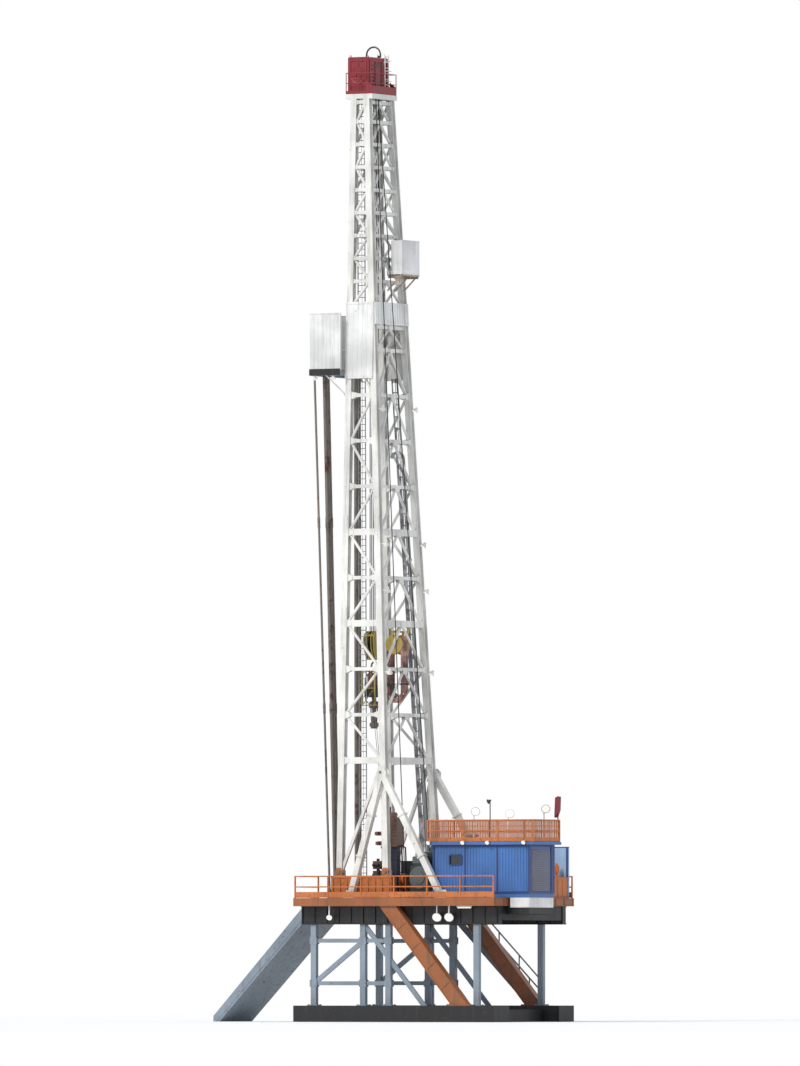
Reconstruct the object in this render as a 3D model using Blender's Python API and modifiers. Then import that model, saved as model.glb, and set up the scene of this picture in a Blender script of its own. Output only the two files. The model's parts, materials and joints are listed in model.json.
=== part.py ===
"""Oil drilling rig at half scale, from the ground up: base, substructure, floor, mast and racked pipe.

Metres, +Z up. The rig is laid out round the well centre (x 0, y 0, ground z 0), with the pipe ramp
towards -X, the dog house towards +X and the stair on the +Y side, and is then moved so that the
origin is under its middle.
"""

import math

import bmesh
import bpy
from mathutils import Matrix, Vector

# Half-scale sizes throughout: each value is half of the real rig's.
GAP = 0.0003

# Bars that are fused run this far into each other, and a bar or cutter that is trimmed runs past the cut
LAP = 0.01
END_REACH = 0.30
CUT_MARGIN = 0.10

# Base boxes on the ground
BASE_HEIGHT = 0.40
BASE_WIDTH = 0.75
SPREADER_HEIGHT = 0.30
SPREADER_WIDTH = 0.30
SPREADER_FRONT_X = -0.90
SPREADER_REAR_X = 3.95

# Drill floor
FLOOR_TOP = 3.05
FLOOR_FRONT_X = -1.15
FLOOR_REAR_X = 4.55
FLOOR_HALF_WIDTH = 2.00
DECK_THICKNESS = 0.20
CROSS_BEAM_WIDTH = 0.16
CROSS_BEAM_DEPTH = 0.35
CROSS_BEAM_XS = (-1.00, -0.52, 0.62, 2.40, 4.40)

# Side frames of the substructure
FRAME_Y = 1.60
FRAME_THICKNESS = 0.16
GIRDER_DEPTH = 0.45
GIRDER_END_INSET = 0.05
POST_WIDTH = 0.15
POST_THICKNESS = 0.12
FRONT_POST_X = -0.775
WELL_POST_X = 0.63
LEG_POST_X = 1.35
REAR_POST_X = 3.85
TIE_DEPTH = 0.10
TIE_THICKNESS = 0.06
UPPER_TIE_Z = 2.00
LOWER_TIE_Z = 0.95
BRACE_WIDTH = 0.12
BRACE_THICKNESS = 0.048
STRUT_FOOT_X = 2.45

# Slanted legs outside the side frames
SLANT_TOP_X = 1.50
SLANT_FOOT_X = 3.55
SLANT_WIDTH = 0.36
SLANT_THICKNESS = 0.20
SLANT_Y = 1.84

# Rotary table in the deck
ROTARY_BORE_R = 0.13
ROTARY_BARREL_R = 0.32
ROTARY_FLANGE_R = 0.45
ROTARY_FLANGE_HEIGHT = 0.07
ROTARY_BARREL_DEPTH = 0.16

# Hand rails
RAIL_HEIGHT = 0.55
RAIL_BAR = 0.030
RAIL_POST = 0.033
RAIL_POST_BELOW_TOP = 0.0075
RAIL_INSET = 0.035
RAIL_POST_PITCH = 0.90
KICK_HEIGHT = 0.14
KICK_THICKNESS = 0.014
KICK_CLEARANCE = 0.01

# Pipe ramp up to the front of the floor
RAMP_FOOT_X = -4.15
RAMP_HALF_WIDTH = 0.80
RAMP_THICKNESS = 0.12
RAMP_CURB_HEIGHT = 0.16
RAMP_CURB_WIDTH = 0.07
RAMP_CURB_PROUD = 0.01
RAMP_CURB_END = 0.002
RAMP_CURB_CUT = 0.10
RAMP_CURB_FOOT_SHARE = 0.6
RAMP_CURB_TOP_SHARE = 0.4

# Landing and stair beside the far edge of the floor, going down towards the rear
STAIR_LANDING_X = 0.20
STAIR_LANDING_LENGTH = 0.60
STAIR_LANDING_DEPTH = 0.06
STAIR_LANDING_POST = 0.06
STAIR_WIDTH = 0.50
STAIR_RUN = 3.05
STAIR_STEPS = 24
TREAD_DEPTH = 0.12
TREAD_NOSING = 0.02
TREAD_THICKNESS = 0.025
STRINGER_DEPTH = 0.16
STRINGER_THICKNESS = 0.034
STAIR_POSTS = 5
STAIR_POST_LAP = 0.04
STAIR_FIRST_POST_X = 0.183
STAIR_RAIL_BAR = 0.0265

# Drawworks
DRAWWORKS_FRONT_X = 1.42
DRAWWORKS_REAR_X = 2.20
DRAWWORKS_HALF_WIDTH = 0.95
DRAWWORKS_SKID = 0.12
DRAWWORKS_HEIGHT = 1.10
DRAWWORKS_INSET = 0.06
DRAWWORKS_MIDDLE_HALF_WIDTH = 0.43
DRAWWORKS_END_INSET = 0.12
DRAWWORKS_END_HEIGHT = 0.80
DRAWWORKS_END_LAP = 0.10

# Dog house
HOUSE_FRONT_X = 2.45
HOUSE_REAR_X = 5.15
HOUSE_WIDTH = 1.20
HOUSE_STRUT_CLEARANCE = 0.13
HOUSE_FLOOR = 0.10
HOUSE_WALL = 0.05
HOUSE_WALL_HEIGHT = 1.20
HOUSE_ROOF = 0.07
ROOF_OVERHANG_X = 0.17
ROOF_OVERHANG_Y = 0.10
DOOR_WIDTH = 0.45
DOOR_HEIGHT = 1.00
DOOR_X = 3.30
FRONT_WINDOW_SILL = 0.50
FRONT_WINDOW_HEIGHT = 0.40
FRONT_WINDOW_WIDTH = 0.75
SIDE_WINDOW_SILL = 0.72
SIDE_WINDOW_HEIGHT = 0.22
SIDE_WINDOW_WIDTH = 0.32
SIDE_WINDOW_X = 3.07
ROOF_RAIL_HEIGHT = 0.55
ROOF_KICK_HEIGHT = 0.10
OUTRIGGER_DEPTH = 0.16
OUTRIGGER_BEAM = 0.12
OUTRIGGER_SEAT = 0.05
OUTRIGGER_ARM_INSET = 0.10
LOCKER_HEIGHT = 0.24
LOCKER_SETBACK = 0.06

# Rear far corner of the floor
WIND_WALL_FRONT_X = 3.50
WIND_WALL_REAR_X = 4.46
WIND_WALL_INSET = 0.075
WIND_WALL_HEIGHT = 1.25
WIND_WALL_THICKNESS = 0.05
POWER_UNIT_FRONT_X = 4.02
POWER_UNIT_REAR_X = 4.46
POWER_UNIT_LOW_Y = 1.02
POWER_UNIT_HEIGHT = 0.52
POWER_UNIT_CLEARANCE = 0.03

# Mast; heights are above the drill floor
SHOE_HEIGHT = 0.55
SHOE_WIDTH = 0.24
SHOE_OVERHANG = 0.12
MAST_TOP = 19.80
MAST_FRONT_X = -0.225
MAST_REAR_X_LOW = 1.125
MAST_REAR_X_TOP = 0.135
MAST_HALF_WIDTH_LOW = 1.2875
MAST_HALF_WIDTH_TOP = 0.55
LEG_SIZE = 0.16
GIRT_Z = 3.40
GIRT_DEPTH = 0.16
LOWER_BAY = 1.13
LOWER_BAYS = 9
UPPER_BAYS = 11
LEVEL_BAR = 0.085
DIAGONAL_BAR = 0.075
BRACING_THICKNESS = 0.09
DIAGONAL_THICKNESS = 0.08
FRONT_BRACING_FROM = 5
FOOT_DIAGONAL_RISE = 0.10
V_FOOT_CLEARANCE = 0.02

# A-frames beside the mast
A_FRAME_BAR = 0.15
A_FRAME_SHOE_CLEARANCE = 0.043
A_FRAME_FRONT_X = 0.20
A_FRAME_REAR_X = 2.80
A_FRAME_SEAT_DEPTH = 0.042
A_FRAME_APEX_Z = 3.10

# Racking board; its walls stand on it
BOARD_Z = 13.05
BOARD_DEPTH = 0.12
BOARD_FRONT_X = -1.175
BOARD_HALF_WIDTH = 1.15
BOARD_BEAM = 0.04
BOARD_STEP = 0.005
BOARD_BRACKET_LENGTH = 0.10
FINGER_WIDTH = 0.040
FINGER_PITCH = 0.18
FINGER_FIRST_X = -1.04
FINGERS = 4
FINGER_INNER_Y = 0.32
FINGER_OUTER_LAP = 0.02
FINGER_LOW = 0.03
FINGER_TOP = 0.02
DIVING_BOARD_HALF_WIDTH = 0.16
DIVING_BOARD_REAR_X = -0.44
DIVING_BOARD_DEPTH = 0.035
DIVING_BOARD_TOP = 0.015
BOARD_WALL_HEIGHT = 1.40
BOARD_WALL_THICKNESS = 0.03
BOARD_WALL_REAR_X = -0.31
SIDE_PANEL_LOW = 12.85
SIDE_PANEL_HIGH = 14.75
SIDE_PANEL_WIDTH = 0.78
BACK_BAND_LOW = 14.20
PANEL_THICKNESS = 0.03

# Small platform behind the mast
LANDING_Z = 15.45
LANDING_DEPTH = 0.10
LANDING_LENGTH = 0.42
LANDING_LOW_Y = -0.12
LANDING_HIGH_Y = 0.76
LANDING_PANEL_HEIGHT = 0.75
LANDING_PANEL_THICKNESS = 0.03
LANDING_PANEL_INSET = 0.01
LANDING_PANEL_FRONT = 0.12
LANDING_PANEL_LAP = 0.08

# Crown
CROWN_DECK_DEPTH = 0.12
CROWN_FRONT_X = -0.475
CROWN_DECK_REAR_X = 0.30
CROWN_DECK_HALF_WIDTH = 0.62
CROWN_BOX_REAR_X = 0.125
CROWN_BOX_HALF_WIDTH = 0.50
CROWN_BOX_HEIGHT = 0.92
CROWN_BOX_BEVEL = 0.02
CROWN_HOOP_X = -0.02
CROWN_HOOP_RADIUS = 0.20
CROWN_HOOP_RISE = 0.07
CROWN_HOOP_BAR_R = 0.022

# Racked pipe a side: a row of heavy stands and, outside it, one slimmer stand, leaning out to the board
ROW_STANDS = 3
ROW_PITCH = 0.098
ROW_PIPE_R = 0.040
ROW_JOINT_R = 0.052
ROW_FOOT_X = -0.756
ROW_FOOT_Y = 0.515
ROW_TOP_Y = 0.77
OUTER_PIPE_R = 0.028
OUTER_JOINT_R = 0.036
OUTER_FOOT_X = -0.86
OUTER_FOOT_Y = 0.70
OUTER_TOP_Y = 1.07
STAND_LENGTH = 13.55
STAND_SINGLES = 3
STAND_SINGLE = 4.60
STAND_SIDES = 6
TOOL_JOINT_LENGTH = 0.22
TOOL_JOINT_TAPER = 0.04
STAND_TRIM = 0.02

# Travelling block and top drive
BLOCK_LOW = 5.90
BLOCK_HEIGHT = 0.72
BLOCK_THICKNESS = 0.30
BLOCK_HALF_WIDTH = 0.30
BLOCK_BEVEL = 0.10
TOP_DRIVE_LOW = 4.20
TOP_DRIVE_FRONT_X = -0.17
TOP_DRIVE_REAR_X = 0.22
TOP_DRIVE_HALF_WIDTH = 0.34
TOP_DRIVE_BODY_LOW = 4.75
TOP_DRIVE_BODY_TOP = 5.65
TOP_DRIVE_NECK = 0.09
TOP_DRIVE_LAP = 0.05
QUILL_R = 0.09
QUILL_SIDES = 12
LINE_R = 0.012
LINE_SIDES = 6
LINE_YS = (-0.20, -0.12, -0.04, 0.04, 0.12, 0.20)
LINE_CLAMP_MARGIN = 0.024
LINE_CLAMP_HEIGHT = 0.04

# Derived places
DECK_LOW = FLOOR_TOP - DECK_THICKNESS
BASE_INNER_Y = FLOOR_HALF_WIDTH - BASE_WIDTH
FRAME_INNER_Y = FRAME_Y - FRAME_THICKNESS / 2
UPPER_BAY = (MAST_TOP - GIRT_Z - LOWER_BAY * LOWER_BAYS) / UPPER_BAYS
MAST_NARROWING = (MAST_HALF_WIDTH_LOW - MAST_HALF_WIDTH_TOP) / MAST_TOP
SHOE_Y = MAST_HALF_WIDTH_LOW - MAST_NARROWING * SHOE_HEIGHT
A_FRAME_INNER_Y = SHOE_Y + SHOE_WIDTH / 2 + A_FRAME_SHOE_CLEARANCE
HOUSE_LOW_Y = HOUSE_STRUT_CLEARANCE - A_FRAME_INNER_Y
HOUSE_HIGH_Y = HOUSE_LOW_Y + HOUSE_WIDTH
STAIR_TOP_X = STAIR_LANDING_X + STAIR_LANDING_LENGTH
STAIR_LOW_Y = FLOOR_HALF_WIDTH + GAP + STRINGER_THICKNESS / 2
STAIR_HIGH_Y = STAIR_LOW_Y + STAIR_WIDTH
X_MIDDLE = (RAMP_FOOT_X + HOUSE_REAR_X + ROOF_OVERHANG_X) / 2
Y_MIDDLE = (STAIR_HIGH_Y + STRINGER_THICKNESS / 2 - FLOOR_HALF_WIDTH) / 2
TRIM_REACH = FLOOR_TOP + MAST_TOP
SIDES = (("near", -1), ("far", 1))


def clear_scene():
    for obj in list(bpy.data.objects):
        bpy.data.objects.remove(obj, do_unlink=True)


def make_collection(name):
    collection = bpy.data.collections.new(name)
    bpy.context.scene.collection.children.link(collection)
    return collection


clear_scene()
PARTS = make_collection("drilling_rig")
HELPERS = make_collection("bars_and_cutters")
HELPERS.hide_render = True
RIG = bpy.data.objects.new("rig_origin", None)
RIG.location = (-X_MIDDLE, -Y_MIDDLE, 0)
PARTS.objects.link(RIG)


def make_material(name, colour, roughness, metallic=0.0):
    material = bpy.data.materials.new(name)
    material.use_nodes = True
    shader = material.node_tree.nodes["Principled BSDF"]
    shader.inputs["Base Color"].default_value = (*colour, 1)
    shader.inputs["Roughness"].default_value = roughness
    shader.inputs["Metallic"].default_value = metallic
    material.diffuse_color = (*colour, 1)
    return material


WHITE = make_material("white_paint", (0.80, 0.81, 0.78), 0.45)
PANEL = make_material("white_panel", (0.86, 0.87, 0.85), 0.50)
ORANGE = make_material("orange_paint", (0.50, 0.15, 0.04), 0.60)
STEEL_BLACK = make_material("black_steel", (0.03, 0.04, 0.05), 0.55, 0.2)
GREY = make_material("grey_paint", (0.36, 0.40, 0.44), 0.55)
BLUE = make_material("blue_paint", (0.05, 0.15, 0.45), 0.45)
PALE_BLUE = make_material("pale_blue_panel", (0.42, 0.58, 0.74), 0.50)
RED = make_material("dark_red_paint", (0.23, 0.015, 0.025), 0.50)
MACHINE = make_material("dark_machine", (0.05, 0.08, 0.08), 0.50, 0.3)
YELLOW = make_material("yellow_paint", (0.75, 0.52, 0.08), 0.45)
PIPE = make_material("pipe_steel", (0.20, 0.17, 0.16), 0.50, 0.7)
ROPE = make_material("wire_rope", (0.06, 0.06, 0.06), 0.50, 0.6)


def add_object(name, data, material=None):
    """A node of the rig, or a helper if it has no material."""
    obj = bpy.data.objects.new(name, data)
    obj.parent = RIG
    if material is None:
        HELPERS.objects.link(obj)
        obj.hide_render = True
        obj.display_type = "WIRE"
    else:
        PARTS.objects.link(obj)
        data.materials.append(material)
    return obj


def as_node(helper, name, material):
    """The helper made into a node of the rig."""
    HELPERS.objects.unlink(helper)
    PARTS.objects.link(helper)
    helper.hide_render = False
    helper.display_type = "TEXTURED"
    helper.name = name
    helper.data.materials.append(material)
    return helper


def box_mesh(name, size):
    mesh = bpy.data.meshes.new(name)
    shape = bmesh.new()
    bmesh.ops.create_cube(shape, size=1)
    bmesh.ops.scale(shape, vec=size, verts=shape.verts)
    shape.to_mesh(mesh)
    shape.free()
    return mesh


def box(name, low, high, material=None):
    """A box between two corners."""
    low = Vector(low)
    high = Vector(high)
    obj = add_object(name, box_mesh(name, high - low), material)
    obj.location = (low + high) / 2
    return obj


def bar(name, start, end, width, depth, wide_along, material=None):
    """A square-ended bar from start to end; its width lies as near as it can along wide_along."""
    start = Vector(start)
    end = Vector(end)
    along = (end - start).normalized()
    across = Vector(wide_along)
    across = (across - along * across.dot(along)).normalized()
    obj = add_object(name, box_mesh(name, (width, depth, (end - start).length)), material)
    axes = Matrix((across, along.cross(across), along)).transposed()
    obj.matrix_local = Matrix.Translation((start + end) / 2) @ axes.to_4x4()
    return obj


def cylinder(name, radius, low, high, sides=24, material=None):
    """An upright cylinder between two points, one above the other."""
    mesh = bpy.data.meshes.new(name)
    shape = bmesh.new()
    height = high[2] - low[2]
    bmesh.ops.create_cone(
        shape, cap_ends=True, segments=sides, radius1=radius, radius2=radius, depth=height
    )
    shape.to_mesh(mesh)
    shape.free()
    mesh.shade_smooth()
    mesh.set_sharp_from_angle(angle=math.radians(40))
    obj = add_object(name, mesh, material)
    obj.location = (Vector(low) + Vector(high)) / 2
    return obj


def outline(name, points, thickness, material=None):
    """A flat shape in local XY, with its thickness centred on local z 0."""
    curve = bpy.data.curves.new(name, "CURVE")
    curve.dimensions = "2D"
    curve.fill_mode = "BOTH"
    curve.extrude = thickness / 2
    spline = curve.splines.new("POLY")
    spline.points.add(len(points) - 1)
    for point, (across, up) in zip(spline.points, points):
        point.co = (across, up, 0, 1)
    spline.use_cyclic_u = True
    return add_object(name, curve, material)


def side_view_outline(name, points, middle_y, thickness):
    """A helper mesh of an outline given in rig X and Z, with its thickness along Y."""
    curve_object = outline(name + "_outline", points, thickness)
    curve_object.location = (0, middle_y, 0)
    curve_object.rotation_euler = (math.radians(90), 0, 0)
    return as_mesh(curve_object)


def as_mesh(curve_object, material=None):
    """The curve as a mesh with welded caps, in a new object; the curve is removed."""
    bpy.context.view_layer.update()
    graph = bpy.context.evaluated_depsgraph_get()
    mesh = bpy.data.meshes.new_from_object(curve_object.evaluated_get(graph))
    shape = bmesh.new()
    shape.from_mesh(mesh)
    bmesh.ops.remove_doubles(shape, verts=shape.verts, dist=1e-6)
    bmesh.ops.recalc_face_normals(shape, faces=shape.faces)
    shape.to_mesh(mesh)
    shape.free()
    mesh.materials.clear()
    obj = add_object(curve_object.name.replace("_outline", ""), mesh, material)
    obj.matrix_local = curve_object.matrix_local
    bpy.data.objects.remove(curve_object, do_unlink=True)
    return obj


def boolean(obj, helpers, operation):
    """One Boolean of obj with all the helpers, which go in a collection of their own."""
    group = bpy.data.collections.new(obj.name + "_" + operation.lower())
    HELPERS.children.link(group)
    for helper in helpers:
        HELPERS.objects.unlink(helper)
        group.objects.link(helper)
    modifier = obj.modifiers.new(operation.lower(), "BOOLEAN")
    modifier.operation = operation
    modifier.solver = "EXACT"
    modifier.operand_type = "COLLECTION"
    modifier.collection = group
    return obj


def fuse(obj, helpers):
    return boolean(obj, helpers, "UNION")


def cut(obj, helpers):
    return boolean(obj, helpers, "DIFFERENCE")


def rear_leg_x(height):
    """X of the rear legs' centre line at a height above the drill floor."""
    return MAST_REAR_X_LOW + (MAST_REAR_X_TOP - MAST_REAR_X_LOW) * height / MAST_TOP


def half_width(height):
    """Y of the far legs' centre line at a height above the drill floor."""
    return MAST_HALF_WIDTH_LOW - MAST_NARROWING * height


def front_point(sign, height):
    return Vector((MAST_FRONT_X, sign * half_width(height), FLOOR_TOP + height))


def rear_point(sign, height):
    return Vector((rear_leg_x(height), sign * half_width(height), FLOOR_TOP + height))


def mast_levels():
    """Heights of the mast's horizontals, from the girt over the floor to the one under the crown."""
    lower = [GIRT_Z + LOWER_BAY * bay for bay in range(LOWER_BAYS)]
    upper_from = GIRT_Z + LOWER_BAY * LOWER_BAYS
    upper = [upper_from + UPPER_BAY * bay for bay in range(UPPER_BAYS)]
    return lower + upper + [MAST_TOP - LEVEL_BAR]


def leg_bar(name, point_at, sign, clearance=0.0, material=None):
    """One mast leg, or a thicker and longer copy of it that cuts a seat for it in another piece."""
    size = LEG_SIZE + 2 * clearance
    reach = END_REACH if clearance else 0.0
    low = point_at(sign, SHOE_HEIGHT - reach)
    high = point_at(sign, MAST_TOP + reach)
    return bar(name, low, high, size, size, (1, 0, 0), material)


def trim_below(name, z):
    """A slab wide enough to hold any piece, for cutting its lower end level."""
    return box(name, (-TRIM_REACH, -TRIM_REACH, z - TRIM_REACH), (TRIM_REACH, TRIM_REACH, z))


def trim_above(name, z):
    """The same for its upper end."""
    return box(name, (-TRIM_REACH, -TRIM_REACH, z), (TRIM_REACH, TRIM_REACH, z + TRIM_REACH))


def make_base():
    for side, sign in SIDES:
        low_y, high_y = sorted((sign * BASE_INNER_Y, sign * FLOOR_HALF_WIDTH))
        low = (FLOOR_FRONT_X, low_y, 0)
        box(f"base_box_{side}", low, (FLOOR_REAR_X, high_y, BASE_HEIGHT), STEEL_BLACK)
    for place, x in (("front", SPREADER_FRONT_X), ("rear", SPREADER_REAR_X)):
        half = BASE_INNER_Y - GAP
        low = (x - SPREADER_WIDTH / 2, -half, 0)
        high = (x + SPREADER_WIDTH / 2, half, SPREADER_HEIGHT)
        box(f"base_spreader_{place}", low, high, STEEL_BLACK)


def make_side_frame(side, sign):
    """Posts, ties and braces under one floor girder, all in one plane."""
    y = sign * FRAME_Y
    foot = BASE_HEIGHT + GAP
    girder_low = DECK_LOW - GAP - GIRDER_DEPTH
    girder_lap = 2 * LAP
    low = (FLOOR_FRONT_X + GIRDER_END_INSET, y - FRAME_THICKNESS / 2, girder_low)
    high = (FLOOR_REAR_X - GIRDER_END_INSET, y + FRAME_THICKNESS / 2, DECK_LOW - GAP)
    frame = box(f"side_frame_{side}", low, high, GREY)
    bars = []
    for index, x in enumerate((FRONT_POST_X, WELL_POST_X, LEG_POST_X, REAR_POST_X)):
        low = (x - POST_WIDTH / 2, y - POST_THICKNESS / 2, foot)
        high = (x + POST_WIDTH / 2, y + POST_THICKNESS / 2, girder_low + girder_lap)
        bars.append(box(f"post_{side}_{index}", low, high))
    for index, z in enumerate((UPPER_TIE_Z, LOWER_TIE_Z)):
        low = (FRONT_POST_X, y - TIE_THICKNESS / 2, z - TIE_DEPTH / 2)
        high = (LEG_POST_X, y + TIE_THICKNESS / 2, z + TIE_DEPTH / 2)
        bars.append(box(f"tie_{side}_{index}", low, high))
    braces = (
        ((FRONT_POST_X, LOWER_TIE_Z), (WELL_POST_X, UPPER_TIE_Z)),
        ((WELL_POST_X, girder_low + girder_lap), (STRUT_FOOT_X, foot - BRACE_WIDTH)),
    )
    for index, (start, end) in enumerate(braces):
        ends = [(x, y, z) for x, z in (start, end)]
        bars.append(bar(f"brace_{side}_{index}", *ends, BRACE_WIDTH, BRACE_THICKNESS, (1, 0, 0)))
    fuse(frame, bars)
    cut(frame, [trim_below(f"frame_foot_{side}", foot)])


def make_slant_leg(side, sign):
    y = sign * SLANT_Y
    slope = (SLANT_FOOT_X - SLANT_TOP_X) / (DECK_LOW - BASE_HEIGHT)
    top = (SLANT_TOP_X - slope * END_REACH, y, DECK_LOW + END_REACH)
    foot = (SLANT_FOOT_X + slope * END_REACH, y, BASE_HEIGHT - END_REACH)
    leg = bar(f"slant_leg_{side}", top, foot, SLANT_WIDTH, SLANT_THICKNESS, (1, 0, 0), ORANGE)
    over = trim_above(f"slant_over_{side}", DECK_LOW - GAP)
    under = trim_below(f"slant_under_{side}", BASE_HEIGHT + GAP)
    cut(leg, [over, under])


def make_substructure():
    for side, sign in SIDES:
        make_side_frame(side, sign)
        make_slant_leg(side, sign)
    half = FRAME_INNER_Y - GAP
    for index, x in enumerate(CROSS_BEAM_XS, start=1):
        low = (x - CROSS_BEAM_WIDTH / 2, -half, DECK_LOW - GAP - CROSS_BEAM_DEPTH)
        high = (x + CROSS_BEAM_WIDTH / 2, half, DECK_LOW - GAP)
        box(f"floor_beam_{index}", low, high, STEEL_BLACK)


def make_deck():
    deck = box(
        "drill_floor",
        (FLOOR_FRONT_X, -FLOOR_HALF_WIDTH, DECK_LOW),
        (FLOOR_REAR_X, FLOOR_HALF_WIDTH, FLOOR_TOP),
        ORANGE,
    )
    low = (0, 0, DECK_LOW - CUT_MARGIN)
    high = (0, 0, FLOOR_TOP + CUT_MARGIN)
    cut(deck, [cylinder("rotary_hole", ROTARY_BARREL_R + GAP, low, high)])


def make_rotary_table():
    """A turned ring: a barrel in the deck's hole under a flange that lies on the deck."""
    flange_low = FLOOR_TOP + GAP
    flange_top = flange_low + ROTARY_FLANGE_HEIGHT
    barrel_low = FLOOR_TOP - ROTARY_BARREL_DEPTH
    profile = (
        (ROTARY_BORE_R, barrel_low),
        (ROTARY_BORE_R, flange_top),
        (ROTARY_FLANGE_R, flange_top),
        (ROTARY_FLANGE_R, flange_low),
        (ROTARY_BARREL_R, flange_low),
        (ROTARY_BARREL_R, barrel_low),
    )
    mesh = bpy.data.meshes.new("rotary_table")
    shape = bmesh.new()
    corners = [shape.verts.new((radius, 0, z)) for radius, z in profile]
    for index, corner in enumerate(corners):
        shape.edges.new((corner, corners[(index + 1) % len(corners)]))
    shape.to_mesh(mesh)
    shape.free()
    table = add_object("rotary_table", mesh, MACHINE)
    screw = table.modifiers.new("turn", "SCREW")
    screw.steps = 24
    screw.render_steps = 24
    screw.use_merge_vertices = True
    screw.merge_threshold = 0.0001


def rail_run(name, start, end, height, kick):
    """Posts, two rails and a kick plate between two points of a level edge, as helper bars."""
    start = Vector(start)
    end = Vector(end)
    along = (end - start).normalized()
    up = Vector((0, 0, 1))
    count = max(1, round((end - start).length / RAIL_POST_PITCH))
    bars = []
    for index in range(count + 1):
        foot = start.lerp(end, index / count)
        top = foot + up * (height - RAIL_POST_BELOW_TOP)
        bars.append(bar(f"{name}_post_{index}", foot, top, RAIL_POST, RAIL_POST, along))
    reach = along * RAIL_BAR / 2
    for index, level in enumerate((height / 2, height - RAIL_BAR / 2)):
        ends = (start - reach + up * level, end + reach + up * level)
        bars.append(bar(f"{name}_rail_{index}", *ends, RAIL_BAR, RAIL_BAR, up))
    level = up * (kick / 2 + KICK_CLEARANCE)
    bars.append(bar(f"{name}_kick", start + level, end + level, kick, KICK_THICKNESS, up))
    return bars


def rail_node(name, corners, height, kick, material):
    """One railing through a chain of corners."""
    bars = []
    for index in range(len(corners) - 1):
        bars += rail_run(f"{name}_{index}", corners[index], corners[index + 1], height, kick)
    first = as_node(bars.pop(0), name, material)
    return fuse(first, bars)


def make_floor_rails():
    z = FLOOR_TOP + GAP
    front = FLOOR_FRONT_X + RAIL_INSET
    rear = FLOOR_REAR_X - RAIL_INSET
    edge = FLOOR_HALF_WIDTH - RAIL_INSET
    door_y = RAMP_HALF_WIDTH + RAIL_BAR
    near = [(front, -door_y, z), (front, -edge, z), (rear, -edge, z)]
    far = [(front, door_y, z), (front, edge, z), (STAIR_LANDING_X - RAIL_BAR, edge, z)]
    beyond_stair = [(STAIR_TOP_X + RAIL_BAR, edge, z), (rear, edge, z)]
    behind = [(rear, HOUSE_HIGH_Y + 2 * RAIL_BAR, z), (rear, POWER_UNIT_LOW_Y - 2 * RAIL_BAR, z)]
    runs = (("near", near), ("far", far), ("beyond_stair", beyond_stair), ("rear", behind))
    for place, corners in runs:
        rail_node(f"floor_rail_{place}", corners, RAIL_HEIGHT, KICK_HEIGHT, ORANGE)


def make_ramp():
    slope = Vector((FLOOR_FRONT_X - GAP - RAMP_FOOT_X, FLOOR_TOP)).normalized()
    drop = RAMP_THICKNESS / slope.x
    top_x = FLOOR_FRONT_X - GAP
    plate = [
        (RAMP_FOOT_X, 0),
        (top_x, FLOOR_TOP),
        (top_x, FLOOR_TOP - drop),
        (top_x - (FLOOR_TOP - drop) * slope.x / slope.y, 0),
    ]
    rise = RAMP_CURB_HEIGHT / slope.x
    curb_top_x = top_x - RAMP_CURB_END
    curb = [
        (RAMP_FOOT_X, 0),
        (RAMP_FOOT_X, rise * RAMP_CURB_FOOT_SHARE),
        (top_x - RAMP_CURB_CUT, FLOOR_TOP - RAMP_CURB_CUT * slope.y / slope.x + rise),
        (curb_top_x, FLOOR_TOP + rise * RAMP_CURB_TOP_SHARE),
        (curb_top_x, FLOOR_TOP - drop / 2),
        (RAMP_FOOT_X + drop / 2, 0),
    ]
    ramp = side_view_outline("pipe_ramp_plate", plate, 0, 2 * RAMP_HALF_WIDTH)
    curb_y = RAMP_HALF_WIDTH - RAMP_CURB_WIDTH / 2 + RAMP_CURB_PROUD
    curbs = [
        side_view_outline(f"ramp_curb_{side}", curb, sign * curb_y, RAMP_CURB_WIDTH)
        for side, sign in SIDES
    ]
    fuse(as_node(ramp, "pipe_ramp", GREY), curbs)


def stair_point(along, y):
    """A point on the line of the nosings, by its distance in X from the top of the flight."""
    return Vector((STAIR_TOP_X + along, y, FLOOR_TOP * (1 - along / STAIR_RUN)))


def stair_side(side, y):
    """One stringer with its posts and two rails, as helper bars."""
    slope = (stair_point(STAIR_RUN, y) - stair_point(0, y)).normalized()
    into_stringer = Vector((slope.z, 0, -slope.x)) * (STRINGER_DEPTH / 2)
    top = stair_point(0, y) + into_stringer + slope * LAP
    foot = stair_point(STAIR_RUN, y) + into_stringer + slope * END_REACH
    bars = [bar(f"stringer_{side}", top, foot, STRINGER_DEPTH, STRINGER_THICKNESS, (0, 0, 1))]
    pitch = (STAIR_RUN - STAIR_FIRST_POST_X) / STAIR_POSTS
    places = [STAIR_FIRST_POST_X + pitch * index for index in range(STAIR_POSTS)]
    for index, along in enumerate(places):
        foot = stair_point(along, y) - Vector((0, 0, STAIR_POST_LAP))
        head = foot + Vector((0, 0, RAIL_HEIGHT))
        size = (STAIR_RAIL_BAR, STAIR_RAIL_BAR)
        bars.append(bar(f"stair_post_{side}_{index}", foot, head, *size, (1, 0, 0)))
    for index, share in enumerate((0.5, 1.0)):
        rise = Vector((0, 0, RAIL_HEIGHT * share - STAIR_POST_LAP - LAP))
        ends = [stair_point(x, y) + rise for x in (places[0] - RAIL_BAR, places[-1] + RAIL_BAR)]
        bars.append(bar(f"stair_rail_{side}_{index}", *ends, RAIL_BAR, RAIL_BAR, (0, 0, 1)))
    return bars


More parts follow.
